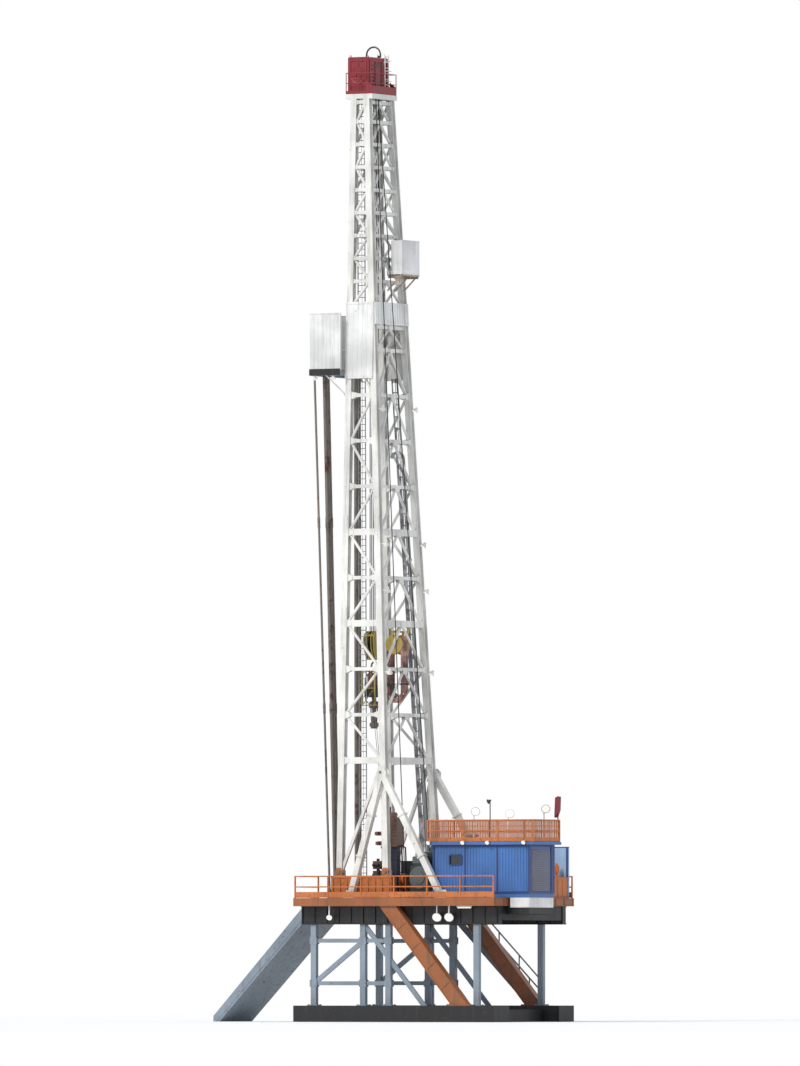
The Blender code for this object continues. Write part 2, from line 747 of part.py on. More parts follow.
def make_stair():
    """A landing on two posts, two stringers with treads between them and rails, fused."""
    edge = FLOOR_HALF_WIDTH + GAP
    outer = STAIR_HIGH_Y + STRINGER_THICKNESS / 2
    under = FLOOR_TOP - STAIR_LANDING_DEPTH
    high = (STAIR_TOP_X + TREAD_NOSING, outer, FLOOR_TOP)
    stair = box("stair", (STAIR_LANDING_X, edge, under), high, GREY)
    bars = stair_side("low", STAIR_LOW_Y) + stair_side("high", STAIR_HIGH_Y)
    rise = FLOOR_TOP / STAIR_STEPS
    for index in range(1, STAIR_STEPS):
        nosing = stair_point(STAIR_RUN * index / STAIR_STEPS, STAIR_HIGH_Y)
        low = (nosing.x - TREAD_DEPTH, STAIR_LOW_Y, FLOOR_TOP - rise * index - TREAD_THICKNESS)
        bars.append(box(f"tread_{index}", low, nosing + Vector((TREAD_NOSING, 0, 0))))
    for index, x in enumerate((STAIR_LANDING_X + LAP, STAIR_TOP_X - STAIR_LANDING_POST - LAP)):
        low = (x, outer - STAIR_LANDING_POST - LAP, 0)
        high = (x + STAIR_LANDING_POST, outer - LAP, under + LAP)
        bars.append(box(f"landing_post_{index}", low, high))
    front = STAIR_LANDING_X + RAIL_BAR
    rail_z = FLOOR_TOP - LAP - KICK_CLEARANCE / 2
    corners = [
        (front, edge + RAIL_BAR, rail_z),
        (front, STAIR_HIGH_Y, rail_z),
        (STAIR_TOP_X - RAIL_BAR, STAIR_HIGH_Y, rail_z),
    ]
    for index in range(len(corners) - 1):
        ends = corners[index : index + 2]
        bars += rail_run(f"landing_rail_{index}", *ends, RAIL_HEIGHT + LAP, KICK_HEIGHT)
    fuse(stair, bars)
    cut(stair, [trim_below("stair_ground", 0)])


def make_drawworks():
    """A skid with a tall middle housing over the drum and a lower end housing on each side."""
    z = FLOOR_TOP + GAP
    half = DRAWWORKS_HALF_WIDTH
    skid_top = z + DRAWWORKS_SKID
    body = box("drawworks", (DRAWWORKS_FRONT_X, -half, z), (DRAWWORKS_REAR_X, half, skid_top), MACHINE)
    low = (DRAWWORKS_FRONT_X + DRAWWORKS_INSET, -DRAWWORKS_MIDDLE_HALF_WIDTH, skid_top - LAP)
    high = (DRAWWORKS_REAR_X - DRAWWORKS_INSET, DRAWWORKS_MIDDLE_HALF_WIDTH, z + DRAWWORKS_HEIGHT)
    housings = [box("drawworks_middle", low, high)]
    for side, sign in SIDES:
        inner = DRAWWORKS_MIDDLE_HALF_WIDTH - DRAWWORKS_END_LAP
        low_y, high_y = sorted((sign * inner, sign * (half - DRAWWORKS_INSET)))
        low = (DRAWWORKS_FRONT_X + DRAWWORKS_END_INSET, low_y, skid_top - LAP)
        high = (DRAWWORKS_REAR_X - DRAWWORKS_END_INSET, high_y, z + DRAWWORKS_END_HEIGHT)
        housings.append(box(f"drawworks_end_{side}", low, high))
    fuse(body, housings)


def make_dog_house():
    floor_low = FLOOR_TOP + GAP
    floor_top = floor_low + HOUSE_FLOOR
    wall_low = floor_top + GAP
    wall_top = wall_low + HOUSE_WALL_HEIGHT
    box(
        "dog_house_floor",
        (HOUSE_FRONT_X, HOUSE_LOW_Y, floor_low),
        (HOUSE_REAR_X, HOUSE_HIGH_Y, floor_top),
        BLUE,
    )
    walls = box(
        "dog_house_walls",
        (HOUSE_FRONT_X, HOUSE_LOW_Y, wall_low),
        (HOUSE_REAR_X, HOUSE_HIGH_Y, wall_top),
        BLUE,
    )
    cut(walls, house_cutters(wall_low, wall_top))
    make_house_roof(wall_top + GAP)
    make_overhang(floor_low)


def house_cutters(wall_low, wall_top):
    """The room, the doorway in the far wall, and a window in the near wall and in the front wall."""
    room_low = (HOUSE_FRONT_X + HOUSE_WALL, HOUSE_LOW_Y + HOUSE_WALL, wall_low - CUT_MARGIN)
    room_high = (HOUSE_REAR_X - HOUSE_WALL, HOUSE_HIGH_Y - HOUSE_WALL, wall_top + CUT_MARGIN)
    door_low = (DOOR_X - DOOR_WIDTH / 2, HOUSE_HIGH_Y - 2 * HOUSE_WALL, wall_low - CUT_MARGIN)
    door_high = (DOOR_X + DOOR_WIDTH / 2, HOUSE_HIGH_Y + HOUSE_WALL, wall_low + DOOR_HEIGHT)
    sill = wall_low + SIDE_WINDOW_SILL
    half = SIDE_WINDOW_WIDTH / 2
    side_low = (SIDE_WINDOW_X - half, HOUSE_LOW_Y - HOUSE_WALL, sill)
    side_high = (SIDE_WINDOW_X + half, HOUSE_LOW_Y + 2 * HOUSE_WALL, sill + SIDE_WINDOW_HEIGHT)
    sill = wall_low + FRONT_WINDOW_SILL
    half = FRONT_WINDOW_WIDTH / 2
    middle_y = (HOUSE_LOW_Y + HOUSE_HIGH_Y) / 2
    front_low = (HOUSE_FRONT_X - HOUSE_WALL, middle_y - half, sill)
    front_high = (HOUSE_FRONT_X + 2 * HOUSE_WALL, middle_y + half, sill + FRONT_WINDOW_HEIGHT)
    return [
        box("house_room", room_low, room_high),
        box("house_door", door_low, door_high),
        box("house_side_window", side_low, side_high),
        box("house_front_window", front_low, front_high),
    ]


def make_house_roof(roof_low_z):
    low = (HOUSE_FRONT_X - ROOF_OVERHANG_X, HOUSE_LOW_Y - ROOF_OVERHANG_Y, roof_low_z)
    high = (HOUSE_REAR_X + ROOF_OVERHANG_X, HOUSE_HIGH_Y + ROOF_OVERHANG_Y, roof_low_z + HOUSE_ROOF)
    box("dog_house_roof", low, high, BLUE)
    rail_z = high[2] + GAP
    low_x = low[0] + RAIL_INSET
    high_x = high[0] - RAIL_INSET
    low_y = low[1] + RAIL_INSET
    high_y = high[1] - RAIL_INSET
    corners = [(low_x, low_y), (high_x, low_y), (high_x, high_y), (low_x, high_y), (low_x, low_y)]
    chain = [(x, y, rail_z) for x, y in corners]
    rail_node("dog_house_roof_rail", chain, ROOF_RAIL_HEIGHT, ROOF_KICK_HEIGHT, ORANGE)


def make_overhang(house_low):
    """What carries the house beyond the floor's edge: a locker on an outrigger of three beams."""
    locker_top = house_low - GAP
    locker_low = locker_top - LOCKER_HEIGHT
    low = (FLOOR_REAR_X + LOCKER_SETBACK, HOUSE_LOW_Y, locker_low)
    box("white_locker", low, (HOUSE_REAR_X, HOUSE_HIGH_Y, locker_top), PANEL)
    beam_top = locker_low - GAP
    beam_low = beam_top - OUTRIGGER_DEPTH
    low = (HOUSE_REAR_X - OUTRIGGER_BEAM, HOUSE_LOW_Y, beam_low)
    outrigger = box("outrigger", low, (HOUSE_REAR_X, HOUSE_HIGH_Y, beam_top), STEEL_BLACK)
    arms = []
    seat = FLOOR_REAR_X - OUTRIGGER_SEAT + GAP
    half = OUTRIGGER_BEAM / 2
    for index, y in enumerate((HOUSE_LOW_Y + OUTRIGGER_ARM_INSET, HOUSE_HIGH_Y - OUTRIGGER_ARM_INSET)):
        low = (seat, y - half, beam_low - LAP)
        high = (HOUSE_REAR_X - LAP, y + half, beam_top - LAP)
        arms.append(box(f"outrigger_arm_{index}", low, high))
    fuse(outrigger, arms)


def make_rear_corner():
    """A wind wall inside the far railing, and a power unit in front of it."""
    z = FLOOR_TOP + GAP
    wall_high_y = FLOOR_HALF_WIDTH - WIND_WALL_INSET
    wall_low_y = wall_high_y - WIND_WALL_THICKNESS
    box(
        "wind_wall",
        (WIND_WALL_FRONT_X, wall_low_y, z),
        (WIND_WALL_REAR_X, wall_high_y, z + WIND_WALL_HEIGHT),
        PALE_BLUE,
    )
    box(
        "power_unit",
        (POWER_UNIT_FRONT_X, POWER_UNIT_LOW_Y, z),
        (POWER_UNIT_REAR_X, wall_low_y - POWER_UNIT_CLEARANCE, z + POWER_UNIT_HEIGHT),
        ORANGE,
    )


def make_mast_shoes():
    for side, sign in SIDES:
        y = sign * SHOE_Y
        low = (MAST_FRONT_X - LEG_SIZE / 2 - SHOE_OVERHANG, y - SHOE_WIDTH / 2, FLOOR_TOP + GAP)
        high = (
            rear_leg_x(SHOE_HEIGHT) + LEG_SIZE / 2 + SHOE_OVERHANG,
            y + SHOE_WIDTH / 2,
            FLOOR_TOP + SHOE_HEIGHT - GAP,
        )
        box(f"mast_shoe_{side}", low, high, ORANGE)


def make_mast_side(side, sign):
    """Two legs with a horizontal at each level and one diagonal a bay, all in one plane."""
    front = leg_bar(f"mast_side_{side}", front_point, sign, material=WHITE)
    rear = leg_bar(f"mast_rear_leg_{side}", rear_point, sign)
    along_leg = front_point(sign, MAST_TOP) - front_point(sign, 0)
    levels = mast_levels()
    bars = [rear]
    for index, height in enumerate(levels):
        depth = GIRT_DEPTH if index == 0 else LEVEL_BAR
        ends = (front_point(sign, height), rear_point(sign, height))
        bars.append(bar(f"side_level_{side}_{index}", *ends, depth, BRACING_THICKNESS, along_leg))
    for index, (low, high) in enumerate(zip(levels, levels[1:])):
        if index % 2:
            ends = (front_point(sign, low), rear_point(sign, high))
        else:
            ends = (rear_point(sign, low), front_point(sign, high))
        size = (DIAGONAL_BAR, DIAGONAL_THICKNESS)
        bars.append(bar(f"side_diagonal_{side}_{index}", *ends, *size, along_leg))
    ends = (front_point(sign, SHOE_HEIGHT + FOOT_DIAGONAL_RISE), rear_point(sign, GIRT_Z))
    bars.append(bar(f"side_foot_diagonal_{side}", *ends, DIAGONAL_BAR, DIAGONAL_THICKNESS, along_leg))
    fuse(front, bars)
    under = trim_below(f"mast_under_{side}", FLOOR_TOP + SHOE_HEIGHT)
    over = trim_above(f"mast_over_{side}", FLOOR_TOP + MAST_TOP)
    cut(front, [under, over])


def make_mast_face(name, point_at, first_level):
    """The bracing between two front or two rear legs: horizontals and, in each bay, an upside-down V."""
    levels = mast_levels()[first_level:]
    along_leg = point_at(1, MAST_TOP) - point_at(1, 0)
    along_leg.y = 0
    bars = []
    for index, height in enumerate(levels):
        depth = GIRT_DEPTH if first_level + index == 0 else LEVEL_BAR
        ends = (point_at(-1, height), point_at(1, height))
        bars.append(bar(f"{name}_level_{index}", *ends, depth, BRACING_THICKNESS, along_leg))
    inset = LEG_SIZE / 2 + V_FOOT_CLEARANCE
    for index, (low, high) in enumerate(zip(levels, levels[1:])):
        for side, sign in SIDES:
            foot = point_at(sign, low)
            foot.y -= sign * inset
            top = point_at(sign, high)
            top.y = 0
            size = (DIAGONAL_BAR, DIAGONAL_THICKNESS)
            bars.append(bar(f"{name}_v_{side}_{index}", foot, top, *size, along_leg))
    first = as_node(bars.pop(0), name, WHITE)
    fuse(first, bars)
    seats = [leg_bar(f"{name}_seat_{side}", point_at, sign, GAP) for side, sign in SIDES]
    cut(first, [*seats, trim_above(f"{name}_over", FLOOR_TOP + MAST_TOP)])


def make_a_frame(side, sign):
    half_bar = A_FRAME_BAR / 2
    foot_y = A_FRAME_INNER_Y + half_bar
    apex_y = half_width(A_FRAME_APEX_Z) + LEG_SIZE / 2 - A_FRAME_SEAT_DEPTH + half_bar
    apex = Vector((rear_leg_x(A_FRAME_APEX_Z), sign * apex_y, FLOOR_TOP + A_FRAME_APEX_Z))
    bars = []
    for place, x in (("front", A_FRAME_FRONT_X), ("rear", A_FRAME_REAR_X)):
        foot = Vector((x, sign * foot_y, FLOOR_TOP))
        reach = (apex - foot).normalized() * END_REACH
        size = (A_FRAME_BAR, A_FRAME_BAR)
        bars.append(bar(f"a_frame_{place}_{side}", foot - reach, apex, *size, (1, 0, 0)))
    first = as_node(bars.pop(0), f"a_frame_{side}", WHITE)
    fuse(first, bars)
    floor = trim_below(f"a_frame_floor_{side}", FLOOR_TOP + GAP)
    seat = leg_bar(f"a_frame_seat_{side}", rear_point, sign, GAP)
    cut(first, [floor, seat])


def make_mast():
    make_mast_shoes()
    for side, sign in SIDES:
        make_mast_side(side, sign)
        make_a_frame(side, sign)
    make_mast_face("mast_back_bracing", rear_point, 0)
    make_mast_face("mast_front_bracing", front_point, LOWER_BAYS + FRONT_BRACING_FROM)


def make_racking_board():
    """A U-shaped frame in front of the mast, with fingers from each side and a walkway in the middle."""
    low = FLOOR_TOP + BOARD_Z - BOARD_DEPTH
    top = FLOOR_TOP + BOARD_Z
    leg_front = MAST_FRONT_X - LEG_SIZE / 2 - GAP
    beam_rear = BOARD_FRONT_X + BOARD_BEAM
    beam_low = (BOARD_FRONT_X, -BOARD_HALF_WIDTH, low)
    board = box("racking_board", beam_low, (beam_rear, BOARD_HALF_WIDTH, top), GREY)
    bars = []
    for side, sign in SIDES:
        side_y = sign * BOARD_HALF_WIDTH
        low_y, high_y = sorted((side_y - sign * BOARD_BEAM, side_y))
        beam_low = (beam_rear - LAP, low_y, low + BOARD_STEP)
        bars.append(box(f"board_side_{side}", beam_low, (leg_front, high_y, top - BOARD_STEP)))
        inner_y = half_width(BOARD_Z) - LEG_SIZE / 2
        low_y, high_y = sorted((sign * inner_y, side_y - sign * FINGER_OUTER_LAP))
        bracket_low = (leg_front - BOARD_BRACKET_LENGTH, low_y, low + 2 * BOARD_STEP)
        bars.append(box(f"board_bracket_{side}", bracket_low, (leg_front, high_y, top - 2 * BOARD_STEP)))
        low_y, high_y = sorted((sign * FINGER_INNER_Y, side_y - sign * FINGER_OUTER_LAP))
        for index in range(FINGERS):
            x = FINGER_FIRST_X + FINGER_PITCH * index
            finger_low = (x, low_y, low + FINGER_LOW)
            finger_high = (x + FINGER_WIDTH, high_y, top - FINGER_TOP)
            bars.append(box(f"finger_{side}_{index}", finger_low, finger_high))
    walkway_top = top - DIVING_BOARD_TOP
    walkway_low = (beam_rear - LAP, -DIVING_BOARD_HALF_WIDTH, walkway_top - DIVING_BOARD_DEPTH)
    walkway_high = (DIVING_BOARD_REAR_X, DIVING_BOARD_HALF_WIDTH, walkway_top)
    bars.append(box("diving_board", walkway_low, walkway_high))
    fuse(board, bars)


def make_board_walls():
    """Wind walls that stand on the board's outer beams."""
    low = FLOOR_TOP + BOARD_Z + GAP
    high = low + BOARD_WALL_HEIGHT
    for side, sign in SIDES:
        outer = sign * BOARD_HALF_WIDTH
        low_y, high_y = sorted((outer, outer - sign * BOARD_WALL_THICKNESS))
        box(f"board_wall_{side}", (BOARD_FRONT_X, low_y, low), (BOARD_WALL_REAR_X, high_y, high), PANEL)
    half = BOARD_HALF_WIDTH - BOARD_WALL_THICKNESS - GAP
    front_high = (BOARD_FRONT_X + BOARD_WALL_THICKNESS, half, high)
    box("board_wall_front", (BOARD_FRONT_X, -half, low), front_high, PANEL)


def make_mast_panels():
    """Panels on the mast's sides beside the board, and a band across its back."""
    offset = LEG_SIZE / 2 + PANEL_THICKNESS / 2 + GAP
    middle_x = MAST_FRONT_X - LEG_SIZE / 2 + SIDE_PANEL_WIDTH / 2
    for side, sign in SIDES:
        ends = []
        for height in (SIDE_PANEL_LOW, SIDE_PANEL_HIGH):
            end = front_point(sign, height) + Vector((0, sign * offset, 0))
            end.x = middle_x
            ends.append(end)
        bar(f"mast_panel_{side}", *ends, SIDE_PANEL_WIDTH, PANEL_THICKNESS, (1, 0, 0), PANEL)
    middle = (BACK_BAND_LOW + SIDE_PANEL_HIGH) / 2
    leg = rear_point(1, SIDE_PANEL_HIGH) - rear_point(1, BACK_BAND_LOW)
    leg.y = 0
    across = half_width(SIDE_PANEL_HIGH) + LEG_SIZE / 2 - GAP
    x = rear_leg_x(middle) + offset + GAP
    z = FLOOR_TOP + middle
    ends = ((x, -across, z), (x, across, z))
    bar("mast_panel_back", *ends, SIDE_PANEL_HIGH - BACK_BAND_LOW, PANEL_THICKNESS, leg, PANEL)


def make_landing():
    """A platform behind the mast with a panel at its rear and one at each end."""
    z = FLOOR_TOP + LANDING_Z
    front = rear_leg_x(LANDING_Z) + LEG_SIZE / 2 + 2 * GAP
    rear = front + LANDING_LENGTH
    deck_top = z + LANDING_DEPTH
    landing = box("mast_landing", (front, LANDING_LOW_Y, z), (rear, LANDING_HIGH_Y, deck_top), PANEL)
    top = deck_top + LANDING_PANEL_HEIGHT
    foot = deck_top - LANDING_PANEL_LAP
    low_y = LANDING_LOW_Y + LANDING_PANEL_INSET
    high_y = LANDING_HIGH_Y - LANDING_PANEL_INSET
    low = (rear - LANDING_PANEL_THICKNESS, low_y, foot)
    panels = [box("landing_panel_rear", low, (rear + LANDING_PANEL_INSET, high_y, top))]
    for index, y in enumerate((low_y, high_y - LANDING_PANEL_THICKNESS)):
        low = (front + LANDING_PANEL_FRONT, y, foot + LANDING_PANEL_INSET)
        high = (rear, y + LANDING_PANEL_THICKNESS, top - LANDING_PANEL_INSET)
        panels.append(box(f"landing_panel_{index}", low, high))
    fuse(landing, panels)


def make_crown():
    low = FLOOR_TOP + MAST_TOP + GAP
    deck_top = low + CROWN_DECK_DEPTH
    box(
        "crown_platform",
        (CROWN_FRONT_X, -CROWN_DECK_HALF_WIDTH, low),
        (CROWN_DECK_REAR_X, CROWN_DECK_HALF_WIDTH, deck_top),
        WHITE,
    )
    box_low = deck_top + GAP
    box_top = box_low + CROWN_BOX_HEIGHT
    housing = box(
        "crown_housing",
        (CROWN_FRONT_X, -CROWN_BOX_HALF_WIDTH, box_low),
        (CROWN_BOX_REAR_X, CROWN_BOX_HALF_WIDTH, box_top),
        RED,
    )
    bevel = housing.modifiers.new("edges", "BEVEL")
    bevel.width = CROWN_BOX_BEVEL
    bevel.segments = 1
    make_crown_hoop(box_top + GAP)


def make_crown_hoop(foot_z):
    """A half hoop over the sheaves, along X."""
    steps = 10
    points = [(-CROWN_HOOP_RADIUS, 0)]
    for step in range(steps + 1):
        angle = math.pi * (1 - step / steps)
        rise = CROWN_HOOP_RISE + CROWN_HOOP_RADIUS * math.sin(angle)
        points.append((CROWN_HOOP_RADIUS * math.cos(angle), rise))
    points.append((CROWN_HOOP_RADIUS, 0))
    curve = bpy.data.curves.new("crown_hoop", "CURVE")
    curve.dimensions = "3D"
    curve.bevel_depth = CROWN_HOOP_BAR_R
    curve.bevel_resolution = 2
    curve.use_fill_caps = True
    spline = curve.splines.new("POLY")
    spline.points.add(len(points) - 1)
    for point, (x, z) in zip(spline.points, points):
        point.co = (x, 0, z, 1)
    hoop = add_object("crown_hoop", curve, MACHINE)
    hoop.location = (CROWN_HOOP_X, 0, foot_z)


def stand_column(name, foot, top, pipe_r, joint_r):
    """One stand of pipe from its foot through a point at board height, six-sided, with tool joints."""
    mesh = bpy.data.meshes.new(name)
    shape = bmesh.new()
    rings = [(0, joint_r)]
    for index in range(STAND_SINGLES):
        joint = STAND_SINGLE * index
        if index:
            rings += [(joint - TOOL_JOINT_TAPER, pipe_r), (joint, joint_r)]
        joint_top = joint + TOOL_JOINT_LENGTH
        rings += [(joint_top, joint_r), (joint_top + TOOL_JOINT_TAPER, pipe_r)]
    rings.append((STAND_LENGTH, pipe_r))
    previous = None
    for height, radius in rings:
        ring = bmesh.ops.create_circle(shape, segments=STAND_SIDES, radius=radius)["verts"]
        bmesh.ops.translate(shape, vec=(0, 0, height), verts=ring)
        if previous is None:
            shape.faces.new(reversed(ring))
        else:
            for corner in range(STAND_SIDES):
                after = (corner + 1) % STAND_SIDES
                shape.faces.new((previous[corner], previous[after], ring[after], ring[corner]))
        previous = ring
    shape.faces.new(previous)
    bmesh.ops.recalc_face_normals(shape, faces=shape.faces)
    shape.to_mesh(mesh)
    shape.free()
    stand = add_object(name, mesh)
    lean = Vector((0, 0, 1)).rotation_difference(top - foot)
    stand.matrix_local = Matrix.Translation(foot) @ lean.to_matrix().to_4x4()
    return stand


def make_pipe_rows():
    """On each side a row of heavy stands in the board's first slot and a slim one in its outer corner."""
    foot_z = FLOOR_TOP - STAND_TRIM
    top_z = FLOOR_TOP + BOARD_Z - BOARD_DEPTH / 2
    row_top_x = FINGER_FIRST_X + (FINGER_PITCH + FINGER_WIDTH) / 2
    outer_top_x = (BOARD_FRONT_X + BOARD_BEAM + FINGER_FIRST_X) / 2
    for side, sign in SIDES:
        stands = []
        for index in range(ROW_STANDS):
            along = (index - (ROW_STANDS - 1) / 2) * ROW_PITCH
            foot = Vector((ROW_FOOT_X, sign * (ROW_FOOT_Y + along), foot_z))
            top = Vector((row_top_x, sign * (ROW_TOP_Y + along), top_z))
            stands.append(stand_column(f"stand_{side}_{index}", foot, top, ROW_PIPE_R, ROW_JOINT_R))
        row = as_node(stands.pop(0), f"pipe_row_{side}", PIPE)
        fuse(row, stands)
        foot = Vector((OUTER_FOOT_X, sign * OUTER_FOOT_Y, foot_z))
        top = Vector((outer_top_x, sign * OUTER_TOP_Y, top_z))
        outer = stand_column(f"outer_{side}", foot, top, OUTER_PIPE_R, OUTER_JOINT_R)
        as_node(outer, f"pipe_stand_{side}", PIPE)
        for stand in (row, outer):
            cut(stand, [trim_below(f"{stand.name}_foot", FLOOR_TOP + GAP)])


def make_travelling_block():
    """The block, and under it the top drive with its neck above and its quill below."""
    z = FLOOR_TOP
    low = (-BLOCK_THICKNESS / 2, -BLOCK_HALF_WIDTH, z + BLOCK_LOW)
    high = (BLOCK_THICKNESS / 2, BLOCK_HALF_WIDTH, z + BLOCK_LOW + BLOCK_HEIGHT)
    block = box("travelling_block", low, high, YELLOW)
    bevel = block.modifiers.new("corners", "BEVEL")
    bevel.width = BLOCK_BEVEL
    bevel.segments = 1
    low = (TOP_DRIVE_FRONT_X, -TOP_DRIVE_HALF_WIDTH, z + TOP_DRIVE_BODY_LOW)
    high = (TOP_DRIVE_REAR_X, TOP_DRIVE_HALF_WIDTH, z + TOP_DRIVE_BODY_TOP)
    body = box("top_drive", low, high, MACHINE)
    neck_low = (-TOP_DRIVE_NECK, -TOP_DRIVE_NECK, z + TOP_DRIVE_BODY_TOP - TOP_DRIVE_LAP)
    neck = box("top_drive_neck", neck_low, (TOP_DRIVE_NECK, TOP_DRIVE_NECK, z + BLOCK_LOW - GAP))
    quill_top = (0, 0, z + TOP_DRIVE_BODY_LOW + TOP_DRIVE_LAP)
    quill = cylinder("top_drive_quill", QUILL_R, (0, 0, z + TOP_DRIVE_LOW), quill_top, QUILL_SIDES)
    fuse(body, [neck, quill])


def make_drilling_lines():
    """The falls of wire rope between crown and block, held by a clamp bar at the crown."""
    top = FLOOR_TOP + MAST_TOP
    low = FLOOR_TOP + BLOCK_LOW + BLOCK_HEIGHT + GAP
    reach = LINE_YS[-1] + LINE_CLAMP_MARGIN
    clamp_low = (-LINE_CLAMP_MARGIN, -reach, top - LINE_CLAMP_HEIGHT)
    lines = box("drilling_lines", clamp_low, (LINE_CLAMP_MARGIN, reach, top), ROPE)
    rope_top = top - LINE_CLAMP_HEIGHT / 2
    ropes = [
        cylinder(f"fall_{index}", LINE_R, (0, y, low), (0, y, rope_top), LINE_SIDES)
        for index, y in enumerate(LINE_YS)
    ]
    fuse(lines, ropes)


make_base()
make_substructure()
make_deck()
make_rotary_table()
make_floor_rails()
make_ramp()
make_stair()
make_drawworks()
make_dog_house()
make_rear_corner()
make_mast()
make_racking_board()
make_board_walls()
make_mast_panels()
make_landing()
make_crown()
make_pipe_rows()
make_travelling_block()
make_drilling_lines()
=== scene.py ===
"""Looks of the half-scale drilling rig: a finish for every solid, and the detail too fine for the solids.

Places are written in the rig's own frame: X to the rear and Y to the far side from the middle of the well,
and H up from the drill floor. at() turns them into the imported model's frame. Lengths are metres of the
half-scale model.
"""

import json
import math

import bmesh
import bpy
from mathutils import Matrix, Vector


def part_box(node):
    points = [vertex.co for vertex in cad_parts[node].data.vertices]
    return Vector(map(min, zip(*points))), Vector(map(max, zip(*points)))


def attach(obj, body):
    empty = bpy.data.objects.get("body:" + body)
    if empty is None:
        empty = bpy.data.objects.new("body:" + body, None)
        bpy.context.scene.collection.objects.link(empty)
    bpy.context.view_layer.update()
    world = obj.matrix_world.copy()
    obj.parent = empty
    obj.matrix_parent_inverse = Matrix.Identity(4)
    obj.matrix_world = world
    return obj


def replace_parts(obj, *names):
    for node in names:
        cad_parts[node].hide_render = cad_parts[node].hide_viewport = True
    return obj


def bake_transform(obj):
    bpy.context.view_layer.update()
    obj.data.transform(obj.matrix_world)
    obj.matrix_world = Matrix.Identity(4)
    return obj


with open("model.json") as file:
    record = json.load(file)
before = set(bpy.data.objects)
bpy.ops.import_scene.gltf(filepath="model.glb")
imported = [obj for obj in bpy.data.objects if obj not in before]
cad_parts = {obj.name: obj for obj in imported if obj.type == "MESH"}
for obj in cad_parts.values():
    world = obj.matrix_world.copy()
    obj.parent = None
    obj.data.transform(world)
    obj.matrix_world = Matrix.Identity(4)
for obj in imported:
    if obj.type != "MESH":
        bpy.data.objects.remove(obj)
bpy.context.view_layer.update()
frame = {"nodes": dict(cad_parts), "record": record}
NODES = frame["nodes"]
SLOT_OF = {entry["node"]: entry["material_slot"] for entry in frame["record"]["subparts"]}
COLOUR_OF = {entry["slot"]: entry["base_color"] for entry in frame["record"]["materials"]}

table_low, table_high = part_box("rotary_table")
WELL_X = (table_low.x + table_high.x) / 2
WELL_Y = (table_low.y + table_high.y) / 2
FLOOR_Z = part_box("drill_floor")[1].z
SIDES = (("near", -1), ("far", 1))
SUNK = 0.002
"""Depth by which a fitting sits in what carries it."""

# The mast and its bracing, as in the part
MAST_TOP = 19.80
FRONT_LEG_X = -0.225
REAR_LEG_X_LOW = 1.125
REAR_LEG_X_TOP = 0.135
HALF_WIDTH_LOW = 1.2875
HALF_WIDTH_TOP = 0.55
LEG = 0.16
SHOE_HEIGHT = 0.55
GIRT_H = 3.40
GIRT_DEPTH = 0.16
LOWER_BAY = 1.13
LOWER_BAYS = 9
UPPER_BAYS = 11
LEVEL_BAR = 0.085
BAR_WIDTH = 0.09
DIAGONAL_R = 0.036
FRONT_BRACING_FROM = 5
FOOT_DIAGONAL_H = 0.65
DEEP_LEVELS = (0, 3, 5)
SPLICE_HS = (6.99, 9.25, 13.99, 17.39)
UPPER_GUSSET = 0.6
"""Size of the gussets over the racking board, as a share of those below it."""
BOARD_H = 13.05

UP = Vector((0, 0, 1))


def at(x, y, h):
    """A point of the rig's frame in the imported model's frame."""
    return Vector((WELL_X + x, WELL_Y + y, FLOOR_Z + h))


def by(x, y, z):
    """A shift."""
    return Vector((x, y, z))


def rig_box(node):
    """The box of a node in the rig's frame, as two corners."""
    shift = at(0, 0, 0)
    low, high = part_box(node)
    return low - shift, high - shift


def pitched(first, pitch, count):
    """Numbers a pitch apart."""
    return [first + pitch * index for index in range(count)]


def spread(first, last, count):
    """Numbers spaced evenly, with both ends."""
    return [first + (last - first) * index / (count - 1) for index in range(count)]


def bays(first, last, count):
    """The middles of equal bays."""
    return [first + (last - first) * (index + 0.5) / count for index in range(count)]


def square(a0, a1, b0, b1):
    """The corners of a rectangle, in order."""
    return [(a0, b0), (a1, b0), (a1, b1), (a0, b1)]


def mirrored(half):
    """A profile made whole: half of it in front of the middle, and its mirror image behind."""
    return [(radius, -along) for radius, along in half] + half[::-1]


def arc(centre, first, second, steps):
    """Points on half a round or an ellipse, from centre + first by way of centre + second."""
    return [centre + first * math.cos(turn) + second * math.sin(turn) for turn in spread(0, math.pi, steps + 1)]


def ring(centre, first, second, count):
    """Points all the way round a centre."""
    turns = pitched(0, 2 * math.pi / count, count)
    return [centre + first * math.cos(turn) + second * math.sin(turn) for turn in turns]


def rear_leg_x(h):
    return REAR_LEG_X_LOW + (REAR_LEG_X_TOP - REAR_LEG_X_LOW) * h / MAST_TOP


def half_width(h):
    return HALF_WIDTH_LOW + (HALF_WIDTH_TOP - HALF_WIDTH_LOW) * h / MAST_TOP


def on_side(sign, x, h, out=0.0):
    """A point of one side of the mast, out metres outside its middle plane."""
    return at(x, sign * (half_width(h) + out), h)


def front_leg(sign, h):
    return on_side(sign, FRONT_LEG_X, h)


def rear_leg(sign, h):
    return on_side(sign, rear_leg_x(h), h)


def mast_levels():
    """Heights of the mast's horizontals."""
    upper_from = GIRT_H + LOWER_BAY * LOWER_BAYS
    upper = pitched(upper_from, (MAST_TOP - upper_from) / UPPER_BAYS, UPPER_BAYS)
    return pitched(GIRT_H, LOWER_BAY, LOWER_BAYS) + upper + [MAST_TOP - LEVEL_BAR]


LEVELS = mast_levels()


# Finishes

MATERIALS = {}
RUST = (0.36, 0.20, 0.12)
DIRT = (0.36, 0.31, 0.25)


